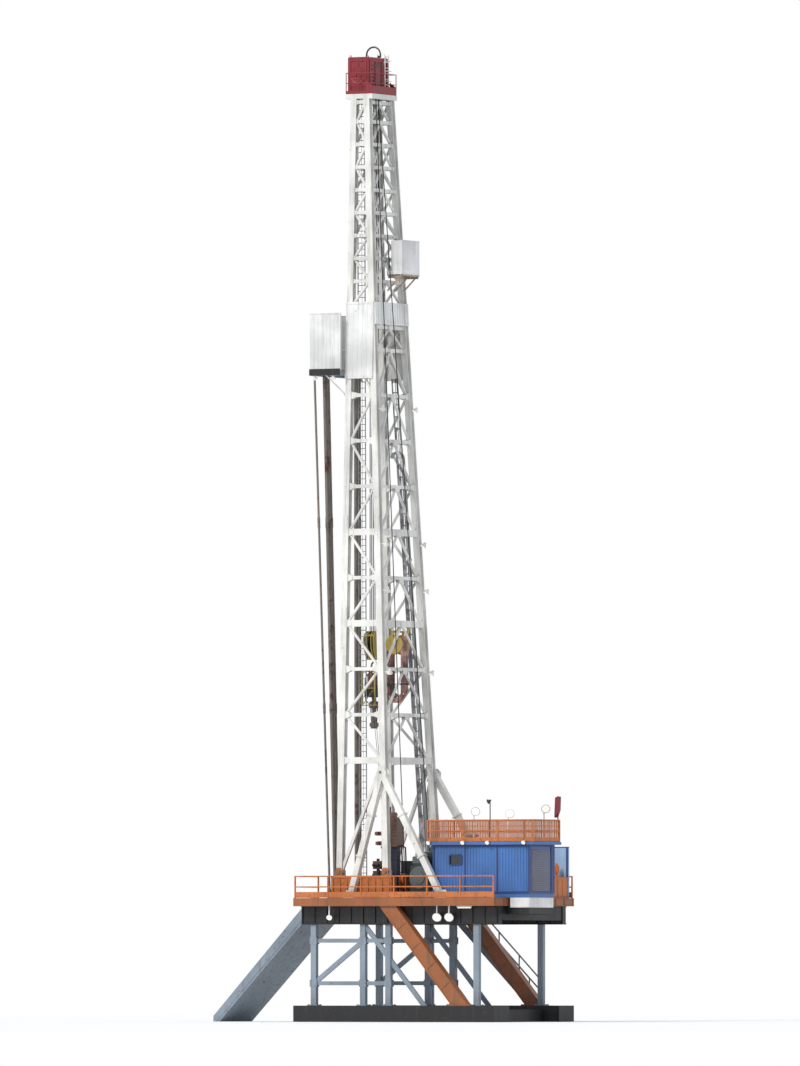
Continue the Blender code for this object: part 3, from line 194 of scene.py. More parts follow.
def linear(colour, shade=1.0):
    """A display colour as the shader wants it, with an alpha of 1."""
    parts = [min(1.0, part * shade) for part in colour[:3]]
    return (*[((p + 0.055) / 1.055) ** 2.4 if p > 0.04045 else p / 12.92 for p in parts], 1.0)


class Finish:
    """A procedural material, written as short calls. Its slot argument is not used."""

    def __init__(self, name, slot=None, metallic=0.0):
        self.material = MATERIALS[name] = bpy.data.materials.new(name)
        self.material.use_nodes = True
        self.tree = self.material.node_tree
        self.shader = self.tree.nodes["Principled BSDF"]
        self.shader.inputs["Metallic"].default_value = metallic
        self.place = self.tree.nodes.new("ShaderNodeTexCoord").outputs["Object"]

    def plug(self, socket, value):
        if hasattr(value, "is_linked"):
            self.tree.links.new(value, socket)
        else:
            socket.default_value = value

    def noise(self, scale, detail=4.0, roughness=0.55, stretch=None):
        """Noise over the object's own place, stretched where a stretch is given."""
        node = self.tree.nodes.new("ShaderNodeTexNoise")
        place = self.place
        if stretch:
            mapping = self.tree.nodes.new("ShaderNodeMapping")
            mapping.inputs["Scale"].default_value = stretch
            self.tree.links.new(place, mapping.inputs["Vector"])
            place = mapping.outputs["Vector"]
        self.tree.links.new(place, node.inputs["Vector"])
        node.inputs["Scale"].default_value = scale
        node.inputs["Detail"].default_value = detail
        node.inputs["Roughness"].default_value = roughness
        return node.outputs["Fac"]

    def height(self, low, high):
        """0 below a height over the ground, 1 above another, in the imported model's frame."""
        split = self.tree.nodes.new("ShaderNodeSeparateXYZ")
        self.tree.links.new(self.place, split.inputs["Vector"])
        return self.between(split.outputs["Z"], low, high)

    def between(self, value, low, high, out_low=0.0, out_high=1.0):
        """A smooth step of a value."""
        node = self.tree.nodes.new("ShaderNodeMapRange")
        node.interpolation_type = "SMOOTHSTEP"
        for socket, number in zip(node.inputs[:5], (value, low, high, out_low, out_high)):
            self.plug(socket, number)
        return node.outputs["Result"]

    def mix(self, share, before, after):
        node = self.tree.nodes.new("ShaderNodeMix")
        node.data_type = "RGBA"
        for socket, value in zip((node.inputs[0], node.inputs[6], node.inputs[7]), (share, before, after)):
            self.plug(socket, value)
        return node.outputs[2]

    def sum(self, operation, first, second):
        node = self.tree.nodes.new("ShaderNodeMath")
        node.operation = operation
        self.plug(node.inputs[0], first)
        self.plug(node.inputs[1], second)
        return node.outputs[0]

    def bump(self, height, strength, distance):
        node = self.tree.nodes.new("ShaderNodeBump")
        node.inputs["Strength"].default_value = strength
        node.inputs["Distance"].default_value = distance
        self.tree.links.new(height, node.inputs["Height"])
        self.tree.links.new(node.outputs["Normal"], self.shader.inputs["Normal"])

    def colour(self, value):
        self.plug(self.shader.inputs["Base Color"], value)

    def rough(self, value):
        self.plug(self.shader.inputs["Roughness"], value)


def worn_paint(name, colour=None, dirt=0.45, rust=0.25, chips=RUST, gloss=0.45, pits=14, under=None, slot=None):
    """Paint that has faded in clouds, run with dirt and chipped through to rust.

    Without a colour it takes its slot's. dirt is the strength of the vertical runs, rust the share of the
    surface that has chipped, and pits how fine the chips are. under is a height over the ground and the slot
    whose colour lies below it.
    """
    finish = Finish(name, slot)
    colour = colour or COLOUR_OF[slot or name]
    clouds = finish.noise(0.9, 6)
    faded = finish.between(clouds, 0.3, 0.7)
    base = finish.mix(faded, linear(colour, 0.90), linear(colour, 1.06))
    if under:
        edge, below = under[0], COLOUR_OF[under[1]]
        lower = finish.mix(faded, linear(below, 0.90), linear(below, 1.06))
        base = finish.mix(finish.height(edge - 0.004, edge + 0.004), lower, base)
    runs = finish.noise(1.0, 7, 0.6, stretch=(7, 7, 0.7))
    base = finish.mix(finish.between(runs, 0.50, 0.74, 0.0, dirt), base, linear(DIRT))
    chipped = finish.between(finish.noise(pits, 9, 0.68), 0.66 - 0.22 * rust, 0.72 - 0.20 * rust)
    rusty = finish.mix(finish.noise(38, 4), linear(chips, 0.7), linear(chips, 1.25))
    finish.colour(finish.mix(chipped, base, rusty))
    sheen = finish.between(clouds, 0.2, 0.8, gloss - 0.08, gloss + 0.10)
    finish.rough(finish.sum("ADD", sheen, finish.sum("MULTIPLY", chipped, 0.30)))
    grain = finish.sum("MULTIPLY", finish.noise(70, 3), 0.35)
    finish.bump(finish.sum("SUBTRACT", grain, chipped), 0.35, 0.002)


def bare_steel(name, colour, gloss, metallic, rust, slot=None):
    """Handled steel: brushed along its length, browned in patches."""
    finish = Finish(name, slot, metallic)
    patches = finish.noise(3.2, 8, 0.62)
    brushed = finish.noise(1.0, 5, 0.6, stretch=(60, 60, 3))
    base = finish.mix(brushed, linear(colour, 0.75), linear(colour, 1.25))
    browned = finish.between(patches, 0.62 - 0.3 * rust, 0.74 - 0.2 * rust, 0.0, 0.85)
    finish.colour(finish.mix(browned, base, linear(RUST, 0.9)))
    finish.rough(finish.between(patches, 0.3, 0.7, gloss - 0.1, gloss + 0.2))
    finish.bump(finish.noise(90, 3), 0.25, 0.001)


def wire_rope(name):
    """Greased strands that wind round the rope."""
    finish = Finish(name, metallic=0.5)
    colour = COLOUR_OF[name]
    wave = finish.tree.nodes.new("ShaderNodeTexWave")
    wave.wave_type = "BANDS"
    wave.bands_direction = "DIAGONAL"
    wave.inputs["Scale"].default_value = 28
    finish.tree.links.new(finish.place, wave.inputs["Vector"])
    strands = wave.outputs["Fac"]
    greased = finish.sum("MULTIPLY", strands, finish.noise(6, 5))
    finish.colour(finish.mix(greased, linear(colour, 0.6), linear(colour, 1.7)))
    finish.rough(finish.between(strands, 0, 1, 0.62, 0.38))
    finish.bump(strands, 0.5, 0.002)


def planks(name, colour, slot):
    """Hardwood mats, soaked and scuffed."""
    finish = Finish(name, slot)
    grain = finish.noise(1.0, 8, 0.6, stretch=(3, 45, 45))
    soaked = finish.between(finish.noise(1.6, 6), 0.35, 0.65)
    dry = finish.mix(grain, linear(colour, 0.6), linear(colour, 1.35))
    finish.colour(finish.mix(soaked, dry, linear(colour, 0.4)))
    finish.rough(finish.between(grain, 0.2, 0.8, 0.65, 0.9))
    finish.bump(grain, 0.5, 0.003)


def glass(name, colour, slot):
    """Dusty window glass, dark inside."""
    finish = Finish(name, slot)
    dust = finish.between(finish.noise(5, 7), 0.35, 0.75)
    finish.colour(finish.mix(dust, linear(colour), linear(colour, 1.8)))
    finish.rough(finish.between(dust, 0, 1, 0.06, 0.35))
    finish.shader.inputs["Coat Weight"].default_value = 0.6
    finish.bump(finish.noise(2.5, 2), 0.05, 0.002)


def lamp_lens(name, colour, glow, slot):
    """A lit lens with its prism pattern."""
    finish = Finish(name, slot)
    prisms = finish.noise(55, 2)
    tone = finish.mix(prisms, linear(colour, 0.85), linear(colour))
    finish.colour(tone)
    finish.plug(finish.shader.inputs["Emission Color"], tone)
    finish.shader.inputs["Emission Strength"].default_value = glow
    finish.rough(finish.between(prisms, 0, 1, 0.15, 0.35))
    finish.bump(prisms, 0.3, 0.002)


def rubber(name, colour, slot):
    """Hose and cable cover, dusty in patches."""
    finish = Finish(name, slot)
    dust = finish.between(finish.noise(4, 6), 0.4, 0.7)
    finish.colour(finish.mix(dust, linear(colour), linear(colour, 2.0)))
    finish.rough(finish.between(dust, 0, 1, 0.5, 0.85))
    finish.bump(finish.noise(120, 2), 0.2, 0.001)


worn_paint("white_paint", (0.87, 0.865, 0.845), 0.40, 0.10)
worn_paint("white_panel", (0.885, 0.885, 0.88), 0.30, 0.05)
worn_paint("orange_paint", None, 0.5, 0.45, (0.47, 0.28, 0.18), pits=18)
# A darker, dirtier copy of the orange paint for the deck and the slanted legs: part dirt, part painted shade.
worn_paint("soiled_orange", (0.58, 0.345, 0.195), 0.8, 0.35, (0.42, 0.27, 0.18), pits=22, slot="orange_paint")
worn_paint("black_steel", None, 0.15, 0.25, gloss=0.5)
worn_paint("grey_paint", None, 0.5, 0.35)
worn_paint("blue_paint", (0.25, 0.42, 0.66), 0.40, 0.15)
worn_paint("pale_blue_panel", None, 0.35, 0.1)
worn_paint("dark_red_paint", None, 0.25, 0.2)
worn_paint("dark_machine", None, 0.35, 0.3, gloss=0.4)
worn_paint("yellow_paint", None, 0.45, 0.4)
bare_steel("pipe_steel", (0.46, 0.43, 0.41), 0.5, 0.55, 0.25)
wire_rope("wire_rope")
bare_steel("galvanised", (0.52, 0.54, 0.55), 0.5, 0.55, 0.12, "grey_paint")
planks("timber", (0.40, 0.30, 0.21), "pipe_steel")
glass("window_glass", (0.07, 0.10, 0.13), "dark_machine")
lamp_lens("lamp_lens", (1.0, 0.97, 0.92), 0.6, "white_panel")
rubber("rubber", (0.06, 0.06, 0.065), "dark_machine")
worn_paint("side_frame", None, 0.2, 0.2, under=(2.395, "grey_paint"), slot="black_steel")
# A brownish, darkened white for the beams under the landing: part dirt, part painted shade under its deck.
worn_paint("dirty_white", (0.66, 0.60, 0.53), 0.7, 0.5, slot="white_paint")
worn_paint("shutter", (0.42, 0.43, 0.50), 0.35, 0.1, gloss=0.5, slot="grey_paint")
worn_paint("navy_machine", (0.13, 0.15, 0.24), 0.3, slot="black_steel")
worn_paint("olive_gold", (0.68, 0.59, 0.30), 0.4, 0.3, slot="yellow_paint")
rubber("hose_brown", (0.40, 0.30, 0.28), "pipe_steel")
rubber("cable_grey", (0.40, 0.385, 0.40), "grey_paint")
worn_paint("motor_brown", (0.45, 0.33, 0.28), 0.4, 0.4, slot="pipe_steel")
worn_paint("olive_machine", (0.34, 0.38, 0.39), 0.4, 0.3, slot="grey_paint")
worn_paint("deep_blue", (0.13, 0.24, 0.46), 0.3, 0.2, slot="blue_paint")


class Piece:
    """One mesh, put together from bars, boxes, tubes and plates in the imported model's frame."""

    def __init__(self):
        self.shape = bmesh.new()

    def prism(self, loops, capped=True):
        """Joins rings of the same number of points, in order, and closes the ends."""
        rings = [[self.shape.verts.new(point) for point in loop] for loop in loops]
        count = len(rings[0])
        for before, after in zip(rings, rings[1:]):
            for index in range(count):
                following = (index + 1) % count
                self.shape.faces.new((before[index], before[following], after[following], after[index]))
        if capped:
            self.shape.faces.new(list(reversed(rings[0])))
            self.shape.faces.new(rings[-1])
        return self

    def box(self, corner, opposite):
        """A box between two corners in the rig's frame, given in either order."""
        (x0, x1), (y0, y1), (z0, z1) = map(sorted, zip(at(*corner), at(*opposite)))
        return self.prism([[(x, y, z) for x, y in square(x0, x1, y0, y1)] for z in (z0, z1)])

    def section(self, start, end, profile, wide_along=(1, 0, 0), level=False):
        """A profile of (wide, deep) points swept from start to end. With level, its ends are cut level."""
        along = (end - start).normalized()
        wide = Vector(wide_along)
        wide = (wide - along * wide.dot(along)).normalized()
        deep = along.cross(wide)
        if level:
            wide, deep = Vector((1, 0, 0)), Vector((0, 1, 0))
        return self.prism([[point + wide * a + deep * b for a, b in profile] for point in (start, end)])

    def bar(self, start, end, width, depth, wide_along=(1, 0, 0)):
        w, d = width / 2, depth / 2
        return self.section(start, end, square(-w, w, -d, d), wide_along)

    def post(self, x, y, low, high, width, depth=None):
        """An upright bar in the rig's frame, square where no depth is given."""
        return self.bar(at(x, y, low), at(x, y, high), width, depth or width)

    def beam(self, start, end, width, depth, wide_along=(1, 0, 0), plate=0.013, level=False):
        """A rolled H section: flanges width wide, depth apart outside."""
        w, d, t, s = width / 2, depth / 2, plate, plate / 2
        half = [(-w, -d), (w, -d), (w, -d + t), (s, -d + t), (s, d - t), (w, d - t)]
        return self.section(start, end, half + [(-a, -b) for a, b in half], wide_along, level)

    def tube(self, start, end, radius, sides=10, end_radius=None):
        """A round bar, or a cone where the end's radius differs."""
        return self.swept([start, end], [radius, radius if end_radius is None else end_radius], sides)

    def pole(self, x, y, low, high, radius, sides=10):
        """An upright round bar in the rig's frame."""
        return self.tube(at(x, y, low), at(x, y, high), radius, sides)

    def swept(self, points, radii, sides=10):
        """A round bar along a chain of points."""
        if not isinstance(radii, (list, tuple)):
            radii = [radii] * len(points)
        turns = [2 * math.pi * side / sides for side in range(sides)]
        wide = None
        loops = []
        for index, (point, radius) in enumerate(zip(points, radii)):
            along = (points[min(index + 1, len(points) - 1)] - points[max(index - 1, 0)]).normalized()
            wide = along.orthogonal() if wide is None else wide - along * wide.dot(along)
            wide.normalize()
            deep = along.cross(wide)
            loops.append([point + (wide * math.cos(t) + deep * math.sin(t)) * radius for t in turns])
        return self.prism(loops)

    def plate(self, points, thickness, towards):
        """A flat plate with the given outline, thick towards a direction."""
        push = Vector(towards).normalized() * thickness
        return self.prism([points, [point + push for point in points]])

    def turned(self, profile, centre, axis, sides=24):
        """A turned piece: a closed outline of (radius, along) points round an axis through a centre."""
        axis = Vector(axis).normalized()
        wide = axis.orthogonal().normalized()
        deep = axis.cross(wide)
        loops = []
        for side in range(sides + 1):
            turn = 2 * math.pi * (side % sides) / sides
            out = wide * math.cos(turn) + deep * math.sin(turn)
            loops.append([centre + out * radius + axis * along for radius, along in profile])
        return self.prism(loops, capped=False)

    def disc(self, centre, axis, radius, thickness, sides=16):
        """A round plate centred on a point."""
        half = Vector(axis).normalized() * thickness / 2
        return self.tube(centre - half, centre + half, radius, sides)

    def bolts(self, centres, towards, radius=0.012, proud=0.010):
        """Hexagon heads, each on a washer."""
        out = Vector(towards).normalized()
        for centre in centres:
            self.tube(centre - out * SUNK, centre + out * proud * 0.25, radius * 1.5, 10)
            self.tube(centre, centre + out * proud, radius, 6)
        return self

    def done(self, name, finish, body="rig", bevel=0.0):
        """Makes the object with its finish, and lets it ride on a body."""
        bmesh.ops.remove_doubles(self.shape, verts=self.shape.verts, dist=0.00001)
        bmesh.ops.recalc_face_normals(self.shape, faces=self.shape.faces)
        mesh = bpy.data.meshes.new(name)
        self.shape.to_mesh(mesh)
        self.shape.free()
        mesh.shade_smooth()
        mesh.set_sharp_from_angle(angle=math.radians(35))
        obj = bpy.data.objects.new(name, mesh)
        bpy.context.scene.collection.objects.link(obj)
        mesh.materials.append(MATERIALS[finish])
        if bevel:
            soften(obj, bevel)
        if body:
            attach(obj, body)
        return obj


def pieces(count):
    return [Piece() for _ in range(count)]


def soften(obj, width):
    """Rounds the sharp edges a little, so that they catch the light."""
    bevel = obj.modifiers.new("softened_edges", "BEVEL")
    bevel.width = width
    bevel.segments = 1
    bevel.limit_method = "ANGLE"
    bevel.angle_limit = math.radians(40)


# The deck and the slanted legs take the darker orange, which is part dirt and part painted shade.
FINISH_OF = {"side_frame": "side_frame", "slant_leg": "soiled_orange", "drill_floor": "soiled_orange"}
"""Finishes of solids that differ from the plain finish of their slot."""
SOFTENED = {
    0.006: ("dog_house_roof", "white_locker", "power_unit", "wind_wall", "drawworks", "crown_platform"),
    0.008: ("base_box_near", "base_box_far", "drill_floor", "mast_shoe_near", "mast_shoe_far"),
}


def dress_solids():
    """Every solid that stays visible gets its slot's finish, and plain ones get softened edges."""
    for name, node in NODES.items():
        node.data.materials.clear()
        material = FINISH_OF.get(name.rsplit("_", 1)[0], FINISH_OF.get(name, SLOT_OF[name]))
        node.data.materials.append(MATERIALS[material])
    for width, names in SOFTENED.items():
        for name in names:
            soften(NODES[name], width)


# The mast

GUSSET = 0.012
GUSSET_REACH = 0.21
GUSSET_RISE = 0.12


def side_gusset(piece, sign, leg_x, inward, h, size):
    """A pair of plates that tie a horizontal and the diagonals to a leg."""
    near_x, far_x = leg_x + inward * 0.012, leg_x + inward * GUSSET_REACH * size
    rise = GUSSET_RISE * size
    outline = ((near_x, -rise), (far_x, -0.05), (far_x, 0.05), (near_x, rise))
    for face in (-1, 1):
        points = [on_side(sign, x, h + lift, face * BAR_WIDTH / 2) for x, lift in outline]
        piece.plate(points, GUSSET, (0, sign * face, 0))


def leg_splice(piece, centre):
    """Fish plates with two rows of bolts over a joint in a leg."""
    for face in (-1, 1):
        out = by(0, face * LEG / 2, 0)
        corners = [centre + out + by(x, 0, rise) for x, rise in square(-0.066, 0.066, -0.20, 0.20)]
        piece.plate(corners, GUSSET, out)
        out *= 1 + 2 * GUSSET / LEG
        heads = [centre + out + by(x, 0, rise) for x in (-0.036, 0.036) for rise in spread(-0.15, 0.15, 6)]
        piece.bolts(heads, out, 0.010, 0.008)


def level_depth(index):
    return GIRT_DEPTH if index in DEEP_LEVELS else LEVEL_BAR


def make_mast_side(side, sign):
    """Two H legs, square horizontals and round diagonals, with gussets and bolted splices."""
    piece = Piece()
    foot, top = SHOE_HEIGHT + SUNK / 4, MAST_TOP - SUNK / 4
    for leg_at in (front_leg, rear_leg):
        piece.beam(leg_at(sign, foot), leg_at(sign, top), LEG, LEG, plate=0.02, level=True)
        for h in SPLICE_HS:
            leg_splice(piece, leg_at(sign, h))
    for index, h in enumerate(LEVELS):
        size = 1.0 if h < BOARD_H else UPPER_GUSSET
        ends = (on_side(sign, FRONT_LEG_X + 0.01, h), on_side(sign, rear_leg_x(h) - 0.01, h))
        piece.bar(*ends, level_depth(index), BAR_WIDTH, UP)
        side_gusset(piece, sign, FRONT_LEG_X, 1, h, size)
        side_gusset(piece, sign, rear_leg_x(h), -1, h, size)
    for index, (low, high) in enumerate(zip(LEVELS, LEVELS[1:])):
        front_h, rear_h = (low, high) if index % 2 else (high, low)
        ends = (on_side(sign, FRONT_LEG_X + 0.05, front_h), on_side(sign, rear_leg_x(rear_h) - 0.05, rear_h))
        piece.tube(*ends, DIAGONAL_R, 8)
    foot_end = on_side(sign, FRONT_LEG_X + 0.03, FOOT_DIAGONAL_H)
    piece.bar(foot_end, on_side(sign, rear_leg_x(GIRT_H) - 0.03, GIRT_H), 0.075, 0.08, UP)
    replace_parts(piece.done(f"mast_lattice_{side}", "white_paint"), f"mast_side_{side}")


def make_mast_face(name, node, leg_at, levels):
    """The bracing across the mast: horizontals and, in each bay, an upside-down V on a middle plate."""
    piece = Piece()
    inset = LEG / 2
    plate_xs = (-BAR_WIDTH / 2 - GUSSET, BAR_WIDTH / 2)
    for h in levels:
        size = 1.0 if h < BOARD_H else UPPER_GUSSET
        ends = [leg_at(sign, h) - by(0, sign * inset, 0) for sign in (-1, 1)]
        piece.bar(*ends, level_depth(LEVELS.index(h)), BAR_WIDTH, UP)
        outline = ((0, -0.10 * size), (0.15 * size, -0.045), (0.15 * size, 0.045), (0, 0.10 * size))
        for sign, end in zip((-1, 1), ends):
            for x in plate_xs:
                piece.plate([end + by(x, -sign * y, z) for y, z in outline], GUSSET, (1, 0, 0))
    for low, high in zip(levels, levels[1:]):
        size = 1.0 if high < BOARD_H else UPPER_GUSSET
        apex = (leg_at(-1, high) + leg_at(1, high)) / 2
        for sign in (-1, 1):
            piece.tube(leg_at(sign, low) - by(0, sign * (inset + 0.02), 0), apex - UP * 0.02, DIAGONAL_R, 8)
        wide, narrow, drop = 0.16 * size, 0.09 * size, 0.12 * size
        for x in plate_xs:
            outline = ((-wide, 0.04), (-narrow, -drop), (narrow, -drop), (wide, 0.04))
            piece.plate([apex + by(x, y, z) for y, z in outline], GUSSET, (1, 0, 0))
    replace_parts(piece.done(name, "white_paint"), node)


LADDER_HALF_WIDTH = 0.10
LADDER_RUNG_PITCH = 0.15
LADDER_INSIDE = 0.15
LADDER_FORWARD = 0.10


def ladder_point(h, along=0.0):
    """A point of the ladder inside the near side, along X from its middle line."""
    x = (FRONT_LEG_X + rear_leg_x(h)) / 2 - LADDER_FORWARD + along
    return on_side(-1, x, h, -LADDER_INSIDE)


def make_ladder():
    """The ladder from the floor to the crown, hung from each horizontal, with its fall-arrest rope."""
    piece = Piece()
    foot, top = 0.02, MAST_TOP - 0.05
    rails = (-LADDER_HALF_WIDTH, LADDER_HALF_WIDTH)
    for along in rails:
        piece.bar(ladder_point(foot, along), ladder_point(top, along), 0.012, 0.034)
        for h in LEVELS:
            start = ladder_point(h, along)
            piece.bar(start, start - by(0, LADDER_INSIDE - 0.03, 0), 0.010, 0.03)
    for index in range(1, int((top - foot) / LADDER_RUNG_PITCH)):
        h = foot + LADDER_RUNG_PITCH * index
        piece.tube(*[ladder_point(h, along) for along in rails], 0.009, 6)
    rope = by(0, 0.02, 0)
    piece.tube(ladder_point(foot) + rope, ladder_point(top) + rope, 0.005, 6)
    piece.done("mast_ladder", "galvanised")


PIPE_R = 0.036
PIPE_TOP_H = 10.9
PIPE_FOOT_H = 0.3
PIPE_INSIDE = 0.13


def make_standpipe():
    """The mud standpipe up the far side, clamped to the lattice, with its gooseneck and floor manifold."""
    piece = Piece()

    def on_pipe(h):
        return on_side(1, rear_leg_x(h) - 0.17, h, -PIPE_INSIDE)

    def band(h, half, radius):
        piece.tube(on_pipe(h) - UP * half, on_pipe(h) + UP * half, radius, 12)

    neck = on_pipe(PIPE_TOP_H)
    points = [on_pipe(h) for h in spread(PIPE_FOOT_H, PIPE_TOP_H, 7)]
    bend = 0.16
    for step in range(1, 7):
        turn = math.pi * 0.85 * step / 6
        over = bend * (1 - math.cos(turn))
        points.append(neck + by(-over * 0.5, -over, bend * math.sin(turn)))
    piece.swept(points, PIPE_R, 12)
    tip = points[-1]
    along = (tip - points[-2]).normalized()
    piece.tube(tip - along * 0.05, tip + along * 0.05, 0.055, 8)
    for h in (0.9, 3.2, 6.0, 8.4):
        band(h, 0.03, 0.052)
    for h in LEVELS[:7]:
        band(h, 0.02, 0.046)
        piece.bar(on_pipe(h), on_pipe(h) + by(0, PIPE_INSIDE - 0.02, 0), 0.05, 0.02, UP)
    low = on_pipe(PIPE_FOOT_H)
    piece.swept([low + UP * 0.04, low, low + by(0.06, 0, -0.05), low + by(0.20, 0, -0.08)], PIPE_R, 12)
    for along in (0.20, 0.34):
        valve = low + by(along, 0, -0.08)
        piece.tube(valve, valve + by(0.10, 0, 0), 0.06, 10)
        piece.tube(valve + by(0.05, 0, 0.05), valve + by(0.05, 0, 0.14), 0.014, 8)
        piece.turned(square(0.045, 0.058, -0.006, 0.006), valve + by(0.05, 0, 0.14), UP, 14)
    piece.bar(low + by(0.30, 0, -0.09), low + by(0.30, 0, -0.30), 0.06, 0.06)
    piece.done("standpipe", "galvanised")


TRAY_OUT = 0.13
TRAY_FOOT_H, TRAY_TOP_H = 0.10, 12.9
TRAY_RUNG_PITCH = 0.30
CABLES = ((-0.045, 12.8, 0.010), (-0.02, 11.6, 0.012), (0.005, 10.4, 0.014), (0.032, 12.8, 0.009))
"""Place across the tray, height of the junction box at the top, and radius."""


def make_cable_tray():
    """The tray of power and signal cables beside the far rear leg, up to the board."""
    tray, cables = pieces(2)

    def on_tray(h, along):
        return on_side(1, rear_leg_x(h) - 0.30 + along, h, -TRAY_OUT)

    for along in (-0.07, 0.07):
        tray.bar(on_tray(TRAY_FOOT_H, along), on_tray(TRAY_TOP_H, along), 0.006, 0.045)
    for index in range(int((TRAY_TOP_H - TRAY_FOOT_H) / TRAY_RUNG_PITCH)):
        h = TRAY_FOOT_H + 0.15 + TRAY_RUNG_PITCH * index
        tray.bar(on_tray(h, -0.07), on_tray(h, 0.07), 0.03, 0.008, UP)
    for h in LEVELS[:9]:
        end = on_tray(h, 0.0)
        tray.bar(end, end + by(0, TRAY_OUT - 0.03, 0), 0.03, 0.01)
    for along, top, radius in CABLES:
        points = [on_tray(h, along) - by(0, 0.016, 0) for h in spread(TRAY_FOOT_H, top, 9)]
        cables.swept(points, radius, 6)
        tray.bar(points[-1] - UP * 0.01, points[-1] + UP * 0.09, 0.036, 0.05)
    tray.done("cable_tray", "galvanised")
    cables.done("mast_cables", "cable_grey")


def make_mast_shoe(side):
    """Stiffeners, a base flange, lugs and the big pins on the block that the legs stand on."""
    low, high = rig_box(f"mast_shoe_{side}")
    middle = (low.y + high.y) / 2
    piece, pins = pieces(2)
    piece.box((low.x - 0.05, low.y - 0.05, 0), (high.x + 0.05, high.y + 0.05, 0.035))
    for face_y, out in ((low.y, -1), (high.y, 1)):
        outline = ((0, 0.035), (0.045, 0.035), (0.014, 0.50), (0, 0.50))
        for x in spread(low.x + 0.06, high.x - 0.06, 9):
            piece.plate([at(x, face_y + out * y, h) for y, h in outline], 0.014, (1, 0, 0))
        piece.box((low.x, face_y, 0.50), (high.x, face_y + out * 0.016, 0.546))
    outline = ((-0.09, 0), (0.09, 0), (0.09, 0.12), (0.05, 0.20), (-0.05, 0.20), (-0.09, 0.12))
    for x in (FRONT_LEG_X, rear_leg_x(SHOE_HEIGHT)):
        for out in (-1, 1):
            lug_y = middle + out * (LEG / 2 + 0.012) - 0.010
            piece.plate([at(x + a, lug_y, SHOE_HEIGHT + b) for a, b in outline], 0.020, (0, 1, 0))
        ends = [at(x, middle + out * (LEG / 2 + 0.045), SHOE_HEIGHT + 0.10) for out in (-1, 1)]
        pins.tube(*ends, 0.036, 16)
        for point in ends:
            pins.disc(point, (0, 1, 0), 0.052, 0.014, 16)
    bolt_xs, bolt_ys = spread(low.x - 0.028, high.x + 0.028, 11), (low.y - 0.03, high.y + 0.03)
    piece.bolts([at(x, y, 0.035) for x in bolt_xs for y in bolt_ys], UP, 0.012, 0.012)
    piece.done(f"shoe_plates_{side}", "orange_paint")
    pins.done(f"shoe_pins_{side}", "pipe_steel")


A_FRAME_FEET_X = (0.20, 2.80)
A_FRAME_APEX_H = 3.10
A_FRAME_BAR = 0.15
A_FRAME_FOOT_OUT = 0.043 + 0.24 / 2 + A_FRAME_BAR / 2
A_FRAME_APEX_OUT = LEG / 2 - 0.042 + A_FRAME_BAR / 2


def make_a_frame(side, sign):
    """Foot plates and pins, bands of bolted flanges, and the apex clevis of the raking struts."""
    piece, pins = pieces(2)
    foot_y = sign * (half_width(SHOE_HEIGHT) + A_FRAME_FOOT_OUT)
    apex = on_side(sign, rear_leg_x(A_FRAME_APEX_H), A_FRAME_APEX_H, A_FRAME_APEX_OUT)
    for x in A_FRAME_FEET_X:
        foot = at(x, foot_y, 0)
        piece.box((x - 0.16, foot_y - 0.11, 0), (x + 0.16, foot_y + 0.11, 0.024))
        outline = ((-0.12, 0.024), (0.12, 0.024), (0.07, 0.20), (-0.07, 0.20))
        for out in (-1, 1):
            lug_y = foot_y + out * (A_FRAME_BAR / 2 + 0.010) - 0.008
            piece.plate([at(x + a, lug_y, b) for a, b in outline], 0.016, (0, 1, 0))
        pins.tube(at(x, foot_y - 0.115, 0.12), at(x, foot_y + 0.115, 0.12), 0.026, 12)
        heads = [at(x + a, foot_y + b, 0.024) for a in (-0.14, 0.14) for b in (-0.09, 0, 0.09)]
        piece.bolts(heads, UP, 0.012, 0.012)
        along = (apex - foot).normalized()
        for share in (0.33, 0.66):
            centre = foot.lerp(apex, share)
            for shift in (-0.011, 0.011):
                piece.bar(centre + along * (shift - 0.009), centre + along * (shift + 0.009), 0.20, 0.20)
    outline = ((-0.16, -0.20), (0.14, -0.20), (0.16, 0.02), (0.07, 0.12), (-0.07, 0.12))
    for out in (-1, 1):
        plate_y = out * (A_FRAME_BAR / 2 + 0.001)
        piece.plate([apex + by(a, plate_y, b) for a, b in outline], 0.014, (0, out, 0))
    pins.tube(apex - by(0, 0.105, 0), apex + by(0, 0.105, 0), 0.034, 14)
    piece.done(f"a_frame_fittings_{side}", "white_paint")
    pins.done(f"a_frame_pins_{side}", "pipe_steel")


def make_floodlight(housing, lens, point, aim, size=0.075):
    """A round floodlight on a bracket: a finned body, a rim and a lens."""
    aim = Vector(aim).normalized()
    back = point - aim * size * 0.9
    housing.tube(back, point, size * 0.55, 14, size)
    housing.tube(point - aim * SUNK, point + aim * 0.012, size * 1.08, 14)
    housing.tube(back - aim * size * 0.5, back + aim * SUNK, size * 0.42, 12)
    lens.disc(point + aim * 0.013, aim, size * 0.9, 0.006, 14)


MAST_LIGHT_HS = (5.58, 7.60, 8.75, 12.10)


